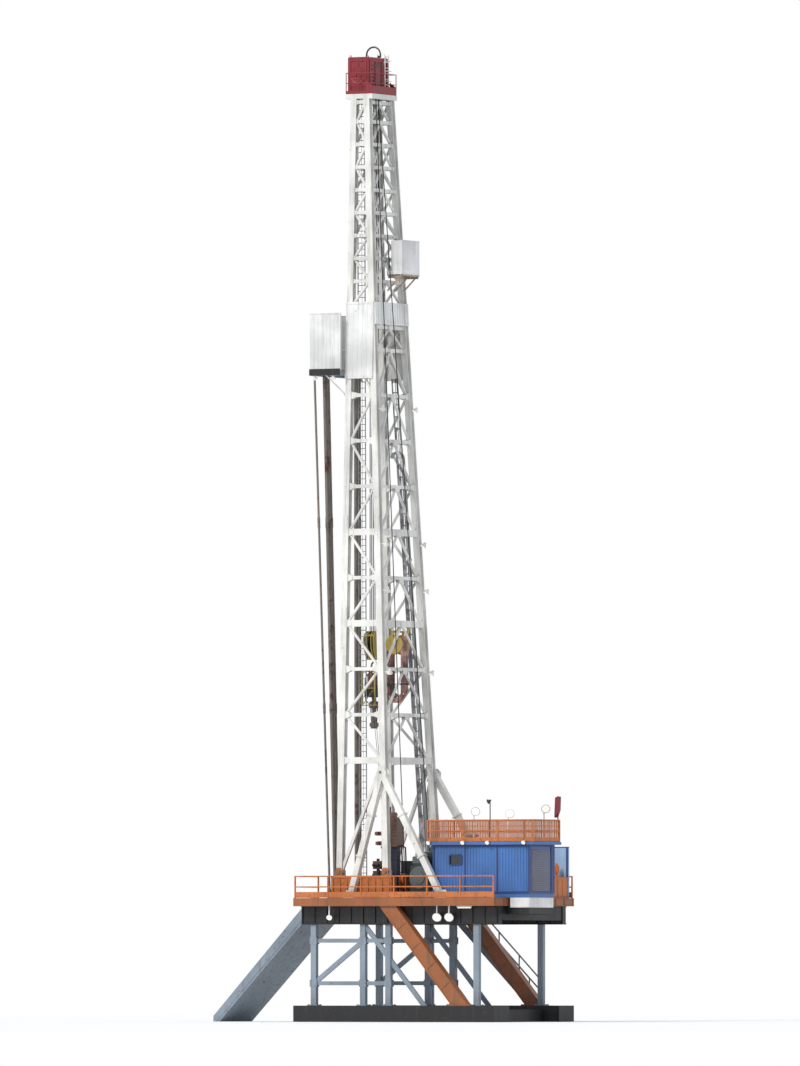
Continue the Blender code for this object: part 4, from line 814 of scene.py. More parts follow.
def make_mast_lights():
    """Floodlights on arms from the rear legs and under the board."""
    housing, lens = pieces(2)
    for sign in (-1, 1):
        for h in MAST_LIGHT_HS:
            leg = on_side(sign, rear_leg_x(h) + LEG / 2, h)
            point = leg + by(0.14, 0, 0.0)
            housing.bar(leg - by(SUNK, 0, 0), point, 0.03, 0.03, UP)
            make_floodlight(housing, lens, point + by(-0.03, -sign * 0.05, -0.02), (-0.35, -sign * 0.5, -0.9))
        for x in (-1.02, -0.50):
            point = at(x, sign * 1.13, BOARD_H - 0.20)
            housing.bar(point, point + UP * 0.09, 0.025, 0.025)
            make_floodlight(housing, lens, point, (0.25, -sign * 0.4, -0.9), 0.06)
    housing.done("mast_light_housings", "white_paint")
    lens.done("mast_light_lenses", "lamp_lens")


# The racking board, its walls and the panels beside it

RIB_PITCH = 0.115
RIB_PROUD = 0.012
PICKET_PITCH = 0.045


def ribs_between(piece, start, end, out, height, proud=RIB_PROUD, low=0.02):
    """Upright folded ribs on a wall's face from start to end, along its foot; out is the face's normal."""
    out = Vector(out).normalized()
    along = (end - start).normalized()
    length = (end - start).length
    outline = ((-0.038, -SUNK), (-0.022, proud), (0.022, proud), (0.038, -SUNK))
    for place in bays(0, length, max(2, int(length / RIB_PITCH))):
        centre = start + along * place
        piece.prism([[centre + along * a + out * b + UP * z for a, b in outline] for z in (low, height - low)])


def frame_round(piece, corners, normal, width, proud):
    """Four bars on a rectangle, given by its corners in order. With a width under 0 they lie outside it."""
    normal = Vector(normal).normalized()
    middle = sum(corners, Vector()) / 4
    for index, corner in enumerate(corners):
        after = corners[(index + 1) % 4]
        along = (after - corner).normalized()
        side = normal.cross(along)
        if side.dot(middle - corner) < 0:
            side = -side
        shift = side * width / 2 + normal * (proud / 2 - SUNK)
        cut = along * max(0.0, width) * (index % 2)
        piece.bar(corner + shift + cut, after + shift - cut, width, proud, side)


def make_board_walls():
    """Ribbed sheets on both faces of the wind walls, with top rails, posts, and dark strips over the beam that
    are painted shade along the board's bottom edge.
    """
    sheets, trim, shade_strip = pieces(3)
    beam_low = rig_box("racking_board")[0].z + 0.01
    for side, sign in SIDES:
        low, high = rig_box(f"board_wall_{side}")
        outer, inner = (low.y, high.y) if sign < 0 else (high.y, low.y)
        for y, out in ((outer, sign), (inner, -sign)):
            ends = at(low.x + 0.04, y, low.z), at(high.x - 0.02, y, low.z)
            ribs_between(sheets, *ends, (0, out, 0), high.z - low.z, low=0.05)
        middle, top = (low.y + high.y) / 2, high.z + 0.014
        trim.bar(at(low.x, middle, top), at(high.x, middle, top), 0.045, 0.032, (0, 1, 0))
        for x in (low.x + 0.30, low.x + 0.62, high.x - 0.02):
            trim.post(x, inner - sign * 0.022, low.z, high.z, 0.03, 0.04)
        # Painted shade: a dark strip over the beam along the board's bottom edge, under the side wall.
        shade_strip.box((low.x - 0.014, outer, beam_low), (high.x, outer + sign * 0.014, low.z + 0.045))
    low, high = rig_box("board_wall_front")
    for x, out in ((low.x, -1), (high.x, 1)):
        ends = at(x, low.y, low.z), at(x, high.y, low.z)
        ribs_between(sheets, *ends, (out, 0, 0), high.z - low.z, low=0.05, proud=0.010)
    middle, top = (low.x + high.x) / 2, high.z + 0.014
    trim.bar(at(middle, low.y, top), at(middle, high.y, top), 0.045, 0.032)
    for y in spread(-0.75, 0.75, 4):
        trim.post(high.x + 0.022, y, low.z, high.z, 0.03, 0.04)
    # Painted shade: the same dark strip under the front wall.
    shade_strip.box((low.x - 0.014, low.y - 0.04, beam_low), (low.x, high.y + 0.04, low.z + 0.045))
    sheets.done("board_wall_ribs", "white_panel")
    trim.done("board_wall_trim", "white_paint")
    shade_strip.done("board_shade_strips", "black_steel")


WALKWAY_HALF = 0.155
FINGER_XS = (-1.02, -0.84, -0.66, -0.48)


def make_board_fittings():
    """Finger latches and their air lines, grating and rails of the walkway, and knee braces to the legs."""
    low, high = rig_box("racking_board")
    braces, latches, grating = pieces(3)
    for sign in (-1, 1):
        for x in FINGER_XS:
            latches.box((x - 0.012, sign * 0.36, high.z - 0.022), (x + 0.012, sign * 1.10, high.z - 0.004))
            for place in pitched(0.40, 0.105, 7):
                y = sign * place
                latches.box((x - 0.018, y - 0.014, high.z - 0.022), (x + 0.055, y + 0.014, high.z + 0.016))
            braces.tube(at(x, sign * 0.318, high.z - 0.05), at(x, sign * 0.335, high.z - 0.05), 0.030, 10)
        leg = on_side(sign, FRONT_LEG_X - LEG / 2, BOARD_H - 0.62)
        braces.tube(leg, at(-0.74, sign * 1.12, low.z + 0.02), 0.018, 8)
        outline = ((0, -0.10), (0.02, 0.10), (-0.10, 0.04))
        braces.plate([leg + by(x, 0, z) for x, z in outline], 0.014, (0, 1, 0))
        rail_y = sign * 0.145
        for x in (-1.10, -0.44):
            braces.pole(x, rail_y, high.z - 0.02, high.z + 0.53, 0.013, 8)
        for rise in (0.28, 0.55):
            braces.tube(at(-1.11, rail_y, high.z + rise), at(-0.43, rail_y, high.z + rise), 0.012, 8)
    foot = high.z - 0.016
    for x in pitched(-1.12, 0.028, 24):
        grating.box((x, -WALKWAY_HALF, foot), (x + 0.007, WALKWAY_HALF, high.z - 0.002))
    for y in (-WALKWAY_HALF, -0.08, 0.0, 0.08, 0.148):
        grating.box((-1.13, y, foot), (-0.445, y + 0.007, high.z - 0.001))
    braces.done("board_rails_and_knees", "white_paint")
    latches.done("finger_latches", "yellow_paint")
    grating.done("walkway_grating", "galvanised")


PANEL_LOW_H, PANEL_HIGH_H = 12.85, 14.75
PANEL_WIDTH = 0.78
PANEL_OUT = LEG / 2 + 0.0303


def make_mast_panels():
    """Ribs and frames on the mast's panels, beside the board and behind it."""
    sheets, trim = pieces(2)
    left = FRONT_LEG_X - LEG / 2
    right = left + PANEL_WIDTH
    rib = ((-0.036, -SUNK), (-0.02, RIB_PROUD), (0.02, RIB_PROUD), (0.036, -SUNK))
    ends_h = (PANEL_LOW_H + 0.06, PANEL_HIGH_H - 0.06)
    for sign in (-1, 1):
        for x in bays(left, right, 6):
            sheets.prism([[on_side(sign, x + a, h, PANEL_OUT + b) for a, b in rib] for h in ends_h])
        for h in (PANEL_LOW_H + 0.03, PANEL_HIGH_H - 0.03):
            trim.bar(*[on_side(sign, x, h, PANEL_OUT + 0.006) for x in (left, right)], 0.05, 0.016, UP)
        for x in (left + 0.02, right - 0.02):
            ends = [on_side(sign, x, h, PANEL_OUT + 0.005) for h in (PANEL_LOW_H, PANEL_HIGH_H)]
            trim.bar(*ends, 0.04, 0.014)
    low, high = rig_box("mast_panel_back")
    for y in bays(low.y, high.y, 14):
        sheets.bar(*[at(rear_leg_x(h) + 0.113, y, h) for h in (14.23, 14.72)], 0.018, 0.05)
    sheets.done("mast_panel_ribs", "white_panel")
    trim.done("mast_panel_frames", "white_paint")


def make_landing():
    """Ribs on the landing's panels, its rails, and the beams and struts under its deck."""
    low, high = rig_box("mast_landing")
    deck = low.z + 0.10
    sheets, under, rail = pieces(3)
    height = high.z - deck
    rear = [at(high.x, y, deck) for y in (low.y + 0.02, high.y - 0.02)]
    ribs_between(sheets, *rear, (1, 0, 0), height, proud=0.008)
    for y, out in ((low.y + 0.01, -1), (high.y - 0.01, 1)):
        ends = [at(x, y, deck) for x in (low.x + 0.14, high.x - 0.02)]
        ribs_between(sheets, *ends, (0, out, 0), height - 0.02, proud=0.008)
    beam_h = low.z - 0.045
    foot_h = low.z - 0.40
    for y in (low.y + 0.05, (low.y + high.y) / 2, high.y - 0.05):
        ends = [at(x, y, beam_h) for x in (low.x + 0.01, high.x - 0.01)]
        under.beam(*ends, 0.06, 0.09, (0, 1, 0), plate=0.010)
        under.bar(at(rear_leg_x(foot_h) + 0.05, y, foot_h), at(high.x - 0.10, y, low.z - 0.08), 0.03, 0.03)
    for x in (low.x + 0.03, high.x - 0.03):
        under.bar(at(x, low.y + 0.01, low.z - 0.02), at(x, high.y - 0.01, low.z - 0.02), 0.05, 0.035)
    for y in (low.y + 0.03, high.y - 0.03):
        rail.pole(low.x + 0.03, y, deck, deck + 0.55, 0.013, 8)
        for h in (deck + 0.28, deck + 0.55):
            rail.tube(at(low.x + 0.02, y, h), at(low.x + 0.16, y, h), 0.012, 8)
    sheets.done("landing_ribs", "white_panel")
    # The beams take the darkened white: part dirt, part painted shade under the deck.
    under.done("landing_beams", "dirty_white")
    rail.done("landing_rails", "galvanised")


# The crown

def make_crown():
    """The crown's platform, housing, ladder and beacon."""
    rails, trim, dark = pieces(3)
    make_crown_platform(rails, dark)
    make_crown_frames(trim, dark)
    ladder, lamp = pieces(2)
    deck_top = rig_box("crown_platform")[1].z
    box_low, box_high = rig_box("crown_housing")
    ladder_x = box_high.x + 0.045
    for y in (0.24, 0.42):
        ladder.post(ladder_x, y, deck_top, box_high.z + 0.10, 0.014, 0.030)
        for h in (box_low.z + 0.25, box_high.z - 0.12):
            ladder.box((box_high.x - SUNK, y - 0.012, h), (ladder_x, y + 0.012, h + 0.03))
    for h in pitched(deck_top + 0.12, 0.14, 7):
        ladder.tube(at(ladder_x, 0.24, h), at(ladder_x, 0.42, h), 0.009, 6)
    for rise in (0.35, 0.60, 0.85):
        ladder.swept(arc(at(ladder_x, 0.33, box_low.z + rise), by(0, -0.09, 0), by(0.12, 0, 0), 8), 0.008, 6)
    beacon = at(0.03, 0.16, box_high.z)
    dark.tube(beacon - UP * SUNK, beacon + UP * 0.06, 0.03, 12)
    turns = [math.pi * (0.12 + 0.87 * step / 8) for step in range(9)]
    dome = [(0.072 * math.sin(turn), 0.125 - 0.072 * math.cos(turn)) for turn in turns]
    lamp.turned(dome + [(0.001, 0.06)], beacon, UP, 20)
    rails.done("crown_rails", "dark_red_paint")
    trim.done("crown_frames", "dark_red_paint")
    dark.done("crown_hatches", "dark_machine")
    ladder.done("crown_ladder", "white_paint")
    lamp.done("crown_beacon", "lamp_lens")


def make_crown_platform(rails, dark):
    """Rails, kick plates and grating of the platform, and the guard plates behind the housing."""
    low, high = rig_box("crown_platform")
    back = rig_box("crown_housing")[1].x - 0.02
    edge = 0.02
    x0, x1 = low.x + edge, high.x - edge
    y0, y1 = low.y + edge, high.y - edge
    corners = square(x0, x1, y0, y1)
    for (x, y), (next_x, next_y) in zip(corners, corners[1:] + corners[:1]):
        for h in (high.z + 0.27, high.z + 0.52):
            rails.tube(at(x, y, h), at(next_x, next_y, h), 0.009, 8)
        rails.bar(at(x, y, high.z + 0.04), at(next_x, next_y, high.z + 0.04), 0.08, 0.008, UP)
        for share in (0, 0.5):
            place = (x + (next_x - x) * share, y + (next_y - y) * share)
            rails.pole(*place, high.z - SUNK, high.z - SUNK + 0.525, 0.011, 8)
    outline = ((back, 0.0), (x1, 0.0), (x1, 0.20), (back, 0.34))
    for y in (y0, y1 - 0.012):
        rails.plate([at(x, y, high.z + rise) for x, rise in outline], 0.012, (0, 1, 0))
    rails.box((x1, y0, high.z), (x1 + 0.012, y1, high.z + 0.20))
    for x in spread(x0, x1, 26):
        dark.box((x - 0.003, y0, high.z - SUNK), (x + 0.003, y1, high.z + 0.006))


def make_crown_frames(trim, dark):
    """Frames, louvres, hatches, bearing covers and lifting eyes of the housing."""
    low, high = rig_box("crown_housing")
    bottom, top = low.z + 0.05, high.z - 0.05
    middle_x, middle_h = (low.x + high.x) / 2, (bottom + top) / 2
    for face, out in ((low.x, -1), (high.x, 1)):
        corners = [at(face, y, h) for y, h in square(-0.44, 0.44, bottom, top)]
        frame_round(trim, corners, (out, 0, 0), 0.05, 0.016)
        x = face + out * 0.006
        for y in (-0.15, 0.15):
            trim.post(x, y, bottom + 0.05, top - 0.05, 0.016, 0.04)
        for h in pitched(bottom + 0.10, 0.095, 7):
            trim.bar(at(x, -0.39, h), at(x, -0.17, h), 0.028, 0.03, (out, 0, 0.9))
        dark.box((face + out * 0.004, -0.10, top - 0.20), (face - out * SUNK, 0.10, top - 0.08))
    cover = [(0.05, 0), (0.05, 0.022), (0.10, 0.022), (0.10, 0.012), (0.19, 0.012), (0.21, 0.020), (0.225, 0)]
    x0, x1 = low.x + 0.05, high.x - 0.05
    for y, out in ((low.y, -1), (high.y, 1)):
        frame_round(trim, [at(x, y, h) for x, h in square(x0, x1, bottom, top)], (0, out, 0), 0.05, 0.016)
        trim.post(middle_x, y + out * 0.006, bottom + 0.05, top - 0.05, 0.04, 0.016)
        trim.turned(cover, at(middle_x, y, middle_h), (0, out, 0), 28)
        heads = ring(at(middle_x, y + out * 0.012, middle_h), by(0.14, 0, 0), by(0, 0, 0.14), 8)
        trim.bolts(heads, (0, out, 0), 0.010, 0.010)
        for x in (low.x + 0.11, high.x - 0.175):
            dark.box((x - 0.045, y + out * 0.004, top - 0.075), (x + 0.045, y - out * SUNK, top + 0.015))
    foot = high.z - SUNK
    for x in (low.x + 0.06, high.x - 0.06):
        for y in (low.y + 0.06, high.y - 0.06):
            trim.box((x - 0.03, y - 0.03, foot), (x + 0.03, y + 0.03, high.z + 0.008))
            trim.swept(arc(at(x, y, foot), by(0.025, 0, 0), by(0, 0, 0.05), 6), 0.008, 8)
    for y in spread(low.y + 0.14, high.y - 0.14, 5):
        trim.box((low.x + 0.06, y - 0.01, foot), (high.x - 0.06, y + 0.01, high.z + 0.012))


# What travels in the mast

LINE_R = 0.012
LINE_YS = (-0.20, -0.12, -0.04, 0.04, 0.12, 0.20)


def make_drilling_lines():
    """The falls of rope between crown and block, drawn once from the block's top to the crown."""
    block_top = rig_box("travelling_block")[1].z
    top = MAST_TOP - 0.005
    rope, guards = pieces(2)
    for y in LINE_YS:
        rope.swept([at(0, y, h) for h in spread(block_top - 0.12, top, 25)], LINE_R, 8)
    falls = rope.done("rope_falls", "wire_rope", body=None)
    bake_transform(falls)
    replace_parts(falls, "drilling_lines")
    for y in (-0.24, 0.24):
        guards.box((-0.03, y - 0.012, top - 0.16), (0.03, y + 0.012, top + 0.004))
    guards.tube(at(0, -0.25, top - 0.10), at(0, 0.25, top - 0.10), 0.016, 10)
    guards.done("crown_line_guides", "dark_machine")


def make_fast_line():
    """The rope from the crown down behind the mast to the drawworks' drum, and the dead line to its anchor."""
    rope, anchor = pieces(2)
    rope.tube(at(0.24, -0.22, MAST_TOP + 0.004), at(1.70, -0.18, rig_box("drawworks")[1].z - 0.02), LINE_R, 8)
    rope.tube(at(0.28, -0.40, MAST_TOP + 0.004), at(1.30, -0.74, 0.62), LINE_R, 8)
    rope.done("fast_and_dead_line", "wire_rope")
    anchor.box((1.16, -0.86, 0), (1.40, -0.62, 0.03))
    for x in (1.19, 1.35):
        anchor.box((x - 0.012, -0.80, 0.03), (x + 0.012, -0.66, 0.52))
    drum = mirrored([(0.05, 0.05), (0.15, 0.05), (0.15, 0.035), (0.11, 0.035)])
    anchor.turned(drum, at(1.275, -0.74, 0.46), (1, 0, 0), 24)
    anchor.done("dead_line_anchor", "orange_paint")


def make_block():
    """Side plates, sheaves, guards and bail of the travelling block."""
    low, high = rig_box("travelling_block")
    middle = (low.z + high.z) / 2
    axle_h = middle + 0.055
    plates, sheaves = pieces(2)
    corners = [(-0.29, 0.16), (-0.24, 0.30), (-0.10, 0.36), (0.10, 0.36), (0.24, 0.30), (0.29, 0.16)]
    outline = corners + [(0.26, -0.10), (0.15, -0.35), (-0.15, -0.35), (-0.26, -0.10)]
    for x in (low.x, -0.075, 0.047, high.x - 0.028):
        plates.plate([at(x, y, middle + z) for y, z in outline], 0.028, (1, 0, 0))
    for y in (-0.245, 0.245):
        plates.bar(at(low.x + 0.01, y, middle + 0.25), at(high.x - 0.01, y, middle + 0.25), 0.05, 0.05, UP)
    plates.box((low.x + 0.01, -0.13, middle - 0.355), (high.x - 0.01, 0.13, middle - 0.30))
    bail = ((-0.09, -0.32), (-0.10, -0.28), (0.10, -0.28), (0.09, -0.32))
    plates.swept([at(0, y, middle + z) for y, z in bail], 0.03, 10)
    rim = [(0.245, 0.022), (0.235, 0.026), (0.16, 0.018), (0.05, 0.022)]
    groove = [(0.215, 0)] + mirrored(rim)
    for x in (-0.10, -0.035, 0.035, 0.10):
        sheaves.turned(groove, at(x, 0, axle_h), (1, 0, 0), 32)
    sheaves.tube(at(low.x - 0.005, 0, axle_h), at(high.x + 0.005, 0, axle_h), 0.055, 18)
    for x, out in ((low.x, -1), (high.x, 1)):
        heads = ring(at(x, 0, axle_h), by(0, 0.14, 0), by(0, 0, 0.14), 8)
        sheaves.bolts(heads, (out, 0, 0), 0.011, 0.008)
    body = plates.done("block_plates", "olive_gold", "hoist", bevel=0.004)
    sheaves.done("block_sheaves", "dark_machine", "hoist")
    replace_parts(body, "travelling_block")


GUARD_XS = (-0.155, 0.205)
GUARD_Y = 0.325
MOTOR_Y = 0.215


def make_top_drive():
    """Bail and swivel, gear case with two motors, guard frame, pipe handler and quill."""
    case, guard, motors, steel, hoses = pieces(5)
    case.box((-0.16, -0.22, 4.98), (0.20, 0.22, 5.22))
    bonnet = [(0.001, 0), (0.19, 0), (0.20, 0.02), (0.20, 0.12), (0.15, 0.17), (0.001, 0.17)]
    case.turned(bonnet, at(0, 0, 5.20), UP, 24)
    case.box((-0.11, -0.13, 5.36), (0.11, 0.13, 5.50))
    shell = [(0.001, 0), (0.105, 0), (0.112, 0.015), (0.112, 0.34), (0.09, 0.38), (0.001, 0.38)]
    for sign in (-1, 1):
        y = sign * MOTOR_Y
        motors.turned(shell, at(0.06, y, 5.20), UP, 20)
        for h in pitched(5.25, 0.045, 7):
            motors.pole(0.06, y, h, h + 0.012, 0.119, 20)
        motors.box((0.13, y - 0.05, 5.28), (0.215, y + 0.05, 5.46))
    front, back = GUARD_XS
    for y in (-GUARD_Y, GUARD_Y):
        for x in GUARD_XS:
            guard.post(x, y, 4.76, 5.64, 0.03)
        for h in (4.778, 5.20, 5.622):
            guard.bar(at(front, y, h), at(back, y, h), 0.025, 0.025, UP)
        guard.tube(at(front, y, 4.78), at(back, y, 5.20), 0.010, 8)
    for x in GUARD_XS:
        for h in (4.780, 5.620):
            guard.bar(at(x, -GUARD_Y, h), at(x, GUARD_Y, h), 0.022, 0.022, UP)
    bail = ((-0.15, 5.45), (-0.17, 5.60), (-0.12, 5.80), (0, 5.875), (0.12, 5.80), (0.17, 5.60), (0.15, 5.45))
    steel.swept([at(0, y, h) for y, h in bail], 0.024, 10)
    steel.pole(0, 0, 4.22, 5.0, 0.055, 16)
    steel.turned([(0.02, 0), (0.088, 0), (0.088, 0.10), (0.06, 0.13), (0.02, 0.13)], at(0, 0, 4.205), UP, 16)
    steel.turned([(0.05, 0), (0.13, 0.02), (0.14, 0.12), (0.10, 0.18), (0.05, 0.18)], at(0, 0, 4.70), UP, 20)
    link = ((0.10, 4.86), (0.155, 4.80), (0.16, 4.62), (0.12, 4.36), (0.09, 4.30))
    hose = ((0.10, 5.44), (0.20, 5.56), (0.27, 5.40), (0.28, 5.10), (0.24, 4.90), (0.12, 4.84))
    for sign in (-1, 1):
        steel.swept([at(0, sign * y, h) for y, h in link], [0.022, 0.020, 0.016, 0.018, 0.022], 10)
        hoses.swept([at(-0.10, sign * y, h) for y, h in hose], 0.014, 8)
    steel.turned([(0.058, 0), (0.11, 0), (0.12, 0.05), (0.11, 0.10), (0.058, 0.10)], at(0, 0, 4.25), UP, 16)
    body = case.done("top_drive_case", "dark_machine", "hoist", bevel=0.008)
    motors.done("top_drive_motors", "motor_brown", "hoist")
    guard.done("top_drive_guard", "olive_gold", "hoist")
    steel.done("top_drive_swivel_and_links", "pipe_steel", "hoist")
    hoses.done("top_drive_hoses", "rubber", "hoist")
    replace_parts(body, "top_drive")


SADDLE_X, SADDLE_H = 0.56, 6.28
SADDLE_ENDS = (-0.06, 0.46)


def make_service_loop():
    """The saddle inside the mast's rear face, with the hoses and cables that hang from it in loops."""
    saddle, hoses, clamps = pieces(3)
    drum = mirrored([(0.046, 0.20), (0.23, 0.20), (0.2484, 0.18), (0.1932, 0.12)])
    saddle.turned(drum, at(SADDLE_X, 0.20, SADDLE_H), (0, 1, 0), 28)
    for y in SADDLE_ENDS:
        saddle.bar(at(SADDLE_X, y, SADDLE_H), at(rear_leg_x(6.79) - 0.02, y, 6.77), 0.07, 0.04, (0, 1, 0))
    saddle.tube(at(SADDLE_X, -0.08, SADDLE_H), at(SADDLE_X, 0.48, SADDLE_H), 0.035, 14)
    for y in SADDLE_ENDS:
        saddle.post(SADDLE_X, y, SADDLE_H, 6.60, 0.05, 0.03)
    saddle.bar(at(SADDLE_X, -0.08, 6.60), at(SADDLE_X, 0.48, 6.60), 0.06, 0.05)
    for index, y in enumerate(pitched(0.04, 0.06, 6)):
        reach = 0.205 - 0.012 * (index % 2)
        drop = 4.86 + 0.07 * (index % 3) + reach
        over = arc(at(SADDLE_X, y, SADDLE_H), by(-reach, 0, 0), by(0, 0, reach), 8)
        under = arc(at(SADDLE_X, y, drop), by(reach, 0, 0), by(0, 0, -reach), 8)
        hoses.swept(over + under + [at(SADDLE_X - reach, y, 6.275)], 0.027, 10)
    for x in (0.36, 0.76):
        for h in (5.30, 5.70):
            clamps.box((x - 0.035, 0.0, h - 0.02), (x + 0.035, 0.38, h + 0.02))
    clamps.box((0.322, 0.012, 6.255), (0.40, 0.388, 6.295))
    saddle.done("hose_saddle", "olive_gold")
    hoses.done("service_loop", "hose_brown")
    clamps.done("loop_clamps", "dark_machine")


# Pipe in the mast

STAND_LENGTH = 13.55
STAND_SINGLE = 4.60
STAND_SINGLES = 3
STAND_TOP_H = BOARD_H - 0.06
ROW_PITCH = 0.098


def stand(piece, foot, top, pipe_r, joint_r):
    """One stand from its foot through a point at board height, with boxes, pins and their upset tapers."""
    along = (top - foot).normalized()
    places, radii = [0.0, 0.012], [joint_r * 0.9, joint_r]
    for index in range(STAND_SINGLES):
        joint = STAND_SINGLE * index
        if index:
            places += [joint + shift for shift in (-0.05, -0.01, 0.092, 0.096, 0.100, 0.104)]
            radii += [pipe_r, joint_r, joint_r, joint_r * 0.94, joint_r * 0.94, joint_r]
        places += [joint + 0.21, joint + 0.25]
        radii += [joint_r, pipe_r]
    places += [STAND_LENGTH - back for back in (0.17, 0.15, 0.02, 0)]
    radii += [pipe_r, joint_r * 0.97, joint_r * 0.97, joint_r * 0.88]
    piece.swept([foot + along * place for place in places], radii, 14)


def make_stands():
    """A row of three stands and one slim stand a side, from the floor to the board's fingers."""
    for side, sign in SIDES:
        row, slim = pieces(2)
        for shift in pitched(-ROW_PITCH, ROW_PITCH, 3):
            foot, top = at(-0.756, sign * (0.515 + shift), 0.003), at(-0.93, sign * (0.77 + shift), STAND_TOP_H)
            stand(row, foot, top, 0.040, 0.0485)
        stand(slim, at(-0.86, sign * 0.70, 0.003), at(-1.0875, sign * 1.07, STAND_TOP_H), 0.028, 0.036)
        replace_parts(row.done(f"stands_{side}", "pipe_steel"), f"pipe_row_{side}")
        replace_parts(slim.done(f"slim_stand_{side}", "pipe_steel"), f"pipe_stand_{side}")


# The drill floor

def make_deck():
    """Setback mats, plate seams and edge ribs on the deck, and the bushing and bolts of the rotary table."""
    low, high = rig_box("drill_floor")
    mats, plates, ribs, bushing = pieces(4)
    for sign in (-1, 1):
        for x in pitched(-1.06, 0.085, 6):
            mats.box((x, sign * 0.20, -SUNK), (x + 0.078, sign * 1.05, 0.0025))
    for x in (0.95, 2.38):
        plates.box((x, low.y + 0.10, -SUNK), (x + 0.03, high.y - 0.10, 0.004))
    for y in (-1.0, 1.0):
        plates.box((0.55, y - 0.015, -SUNK), (high.x - 0.1, y + 0.015, 0.0035))
    for y in pitched(low.y + 0.05, 0.433, 10):
        ribs.box((high.x - SUNK, y - 0.006, -0.185), (high.x + 0.012, y + 0.006, -0.02))
    for h in (-0.19, -0.018):
        ribs.box((high.x - SUNK, low.y, h - 0.008), (high.x + 0.014, high.y, h + 0.008))
    mats.done("setback_mats", "timber")
    plates.done("deck_seams", "orange_paint")
    # The edge ribs take the darker orange: part dirt, part painted shade.
    ribs.done("deck_edge_ribs", "soiled_orange")
    top = rig_box("rotary_table")[1].z
    section = [(0.075, 0), (0.20, 0), (0.20, 0.018), (0.16, 0.030), (0.075, 0.030)]
    bushing.turned(section, at(0, 0, top - SUNK), UP, 32)
    bushing.bolts(ring(at(0, 0, top), by(0.40, 0, 0), by(0, 0.40, 0), 16), UP, 0.014, 0.010)
    for x, y in ((0.27, 0), (0, 0.27), (-0.27, 0), (0, -0.27)):
        bushing.box((x - 0.03, y - 0.03, top - SUNK), (x + 0.03, y + 0.03, top + 0.014))
    bushing.done("table_bushing", "dark_machine")


COLUMN_X, COLUMN_Y = 0.56, -0.48
TONGS = ((-0.30, 1.36, 0.46), (-0.34, 1.60, 0.54))
"""Place across, height, and where along the near side's horizontal the wire is made fast."""


def make_floor_tools():
    """The roughneck and its column beside the well, the control cabinets and the mousehole's collar."""
    dark, brown, navy, wires, hoses = pieces(5)
    dark.box((0.30, -0.66, 0), (0.66, -0.30, 0.04))
    dark.pole(COLUMN_X, COLUMN_Y, 0.03, 1.46, 0.060, 16)
    for h in (0.30, 0.78, 1.26):
        dark.pole(COLUMN_X, COLUMN_Y, h - 0.03, h + 0.03, 0.082, 16)
    brown.box((0.40, -0.60, 0.52), (0.68, -0.36, 0.66))
    brown.bar(at(0.54, -0.48, 0.60), at(0.34, -0.40, 0.60), 0.12, 0.14, UP)
    for low_h, high_h in ((0.46, 0.68), (0.72, 0.92)):
        brown.box((0.26, -0.52, low_h), (0.48, -0.26, high_h))
        brown.box((0.20, -0.30, low_h + 0.03), (0.30, -0.20, high_h - 0.03))
        middle = (low_h + high_h) / 2
        dark.tube(at(0.28, -0.56, middle), at(0.46, -0.56, middle), 0.035, 12)
    dark.pole(0.34, -0.39, 0.40, 0.98, 0.040, 14)
    hang_tongs(brown, wires)
    navy.box((0.76, -0.66, 0), (1.06, -0.36, 0.06))
    navy.box((0.82, -0.60, 0.05), (1.00, -0.42, 1.28))
    for h in (0.30, 0.62, 0.94):
        navy.box((0.81, -0.61, h), (1.01, -0.41, h + 0.02))
    brown.box((0.62, -0.68, 1.27), (1.04, -0.32, 1.92))
    brown.box((0.66, -0.64, 1.91), (1.00, -0.36, 2.12))
    for h in pitched(1.36, 0.085, 6):
        brown.box((0.66, -0.69, h), (1.00, -0.679, h + 0.035))
    dark.box((0.612, -0.62, 1.50), (0.622, -0.38, 1.80))
    dark.pole(0.74, -0.50, 2.11, 2.26, 0.03, 12)
    navy.box((0.46, 0.52, 0), (0.96, 0.84, 0.90))
    navy.box((0.44, 0.50, 0.90 - SUNK), (0.98, 0.86, 0.93))
    for x in (0.50, 0.74):
        navy.box((x, 0.512, 0.10), (x + 0.19, 0.52 + SUNK, 0.82))
    dark.box((0.56, -1.02, 0), (0.94, -0.80, 0.52))
    dark.pole(0.65, -0.91, 0.51, 0.70, 0.05, 14)
    dark.pole(0.85, -0.91, 0.51, 0.66, 0.05, 14)
    for y, reach in ((-0.54, 0.0), (-0.44, 0.05)):
        run = ((0.95, 1.35), (1.10 + reach, 1.25), (1.12 + reach, 0.80), (1.10 + reach, 0.30), (1.03, 0.03))
        hoses.swept([at(x, y, h) for x, h in run], 0.020, 8)
    dark.turned(square(0.055, 0.085, 0, 0.05), at(-0.42, -0.10, -SUNK), UP, 20)
    dark.done("floor_machine_steel", "dark_machine", bevel=0.004)
    brown.done("roughneck_and_tongs", "motor_brown", bevel=0.006)
    navy.done("control_cabinets", "navy_machine", bevel=0.004)
    wires.done("tong_wires", "wire_rope")
    hoses.done("roughneck_hoses", "rubber")


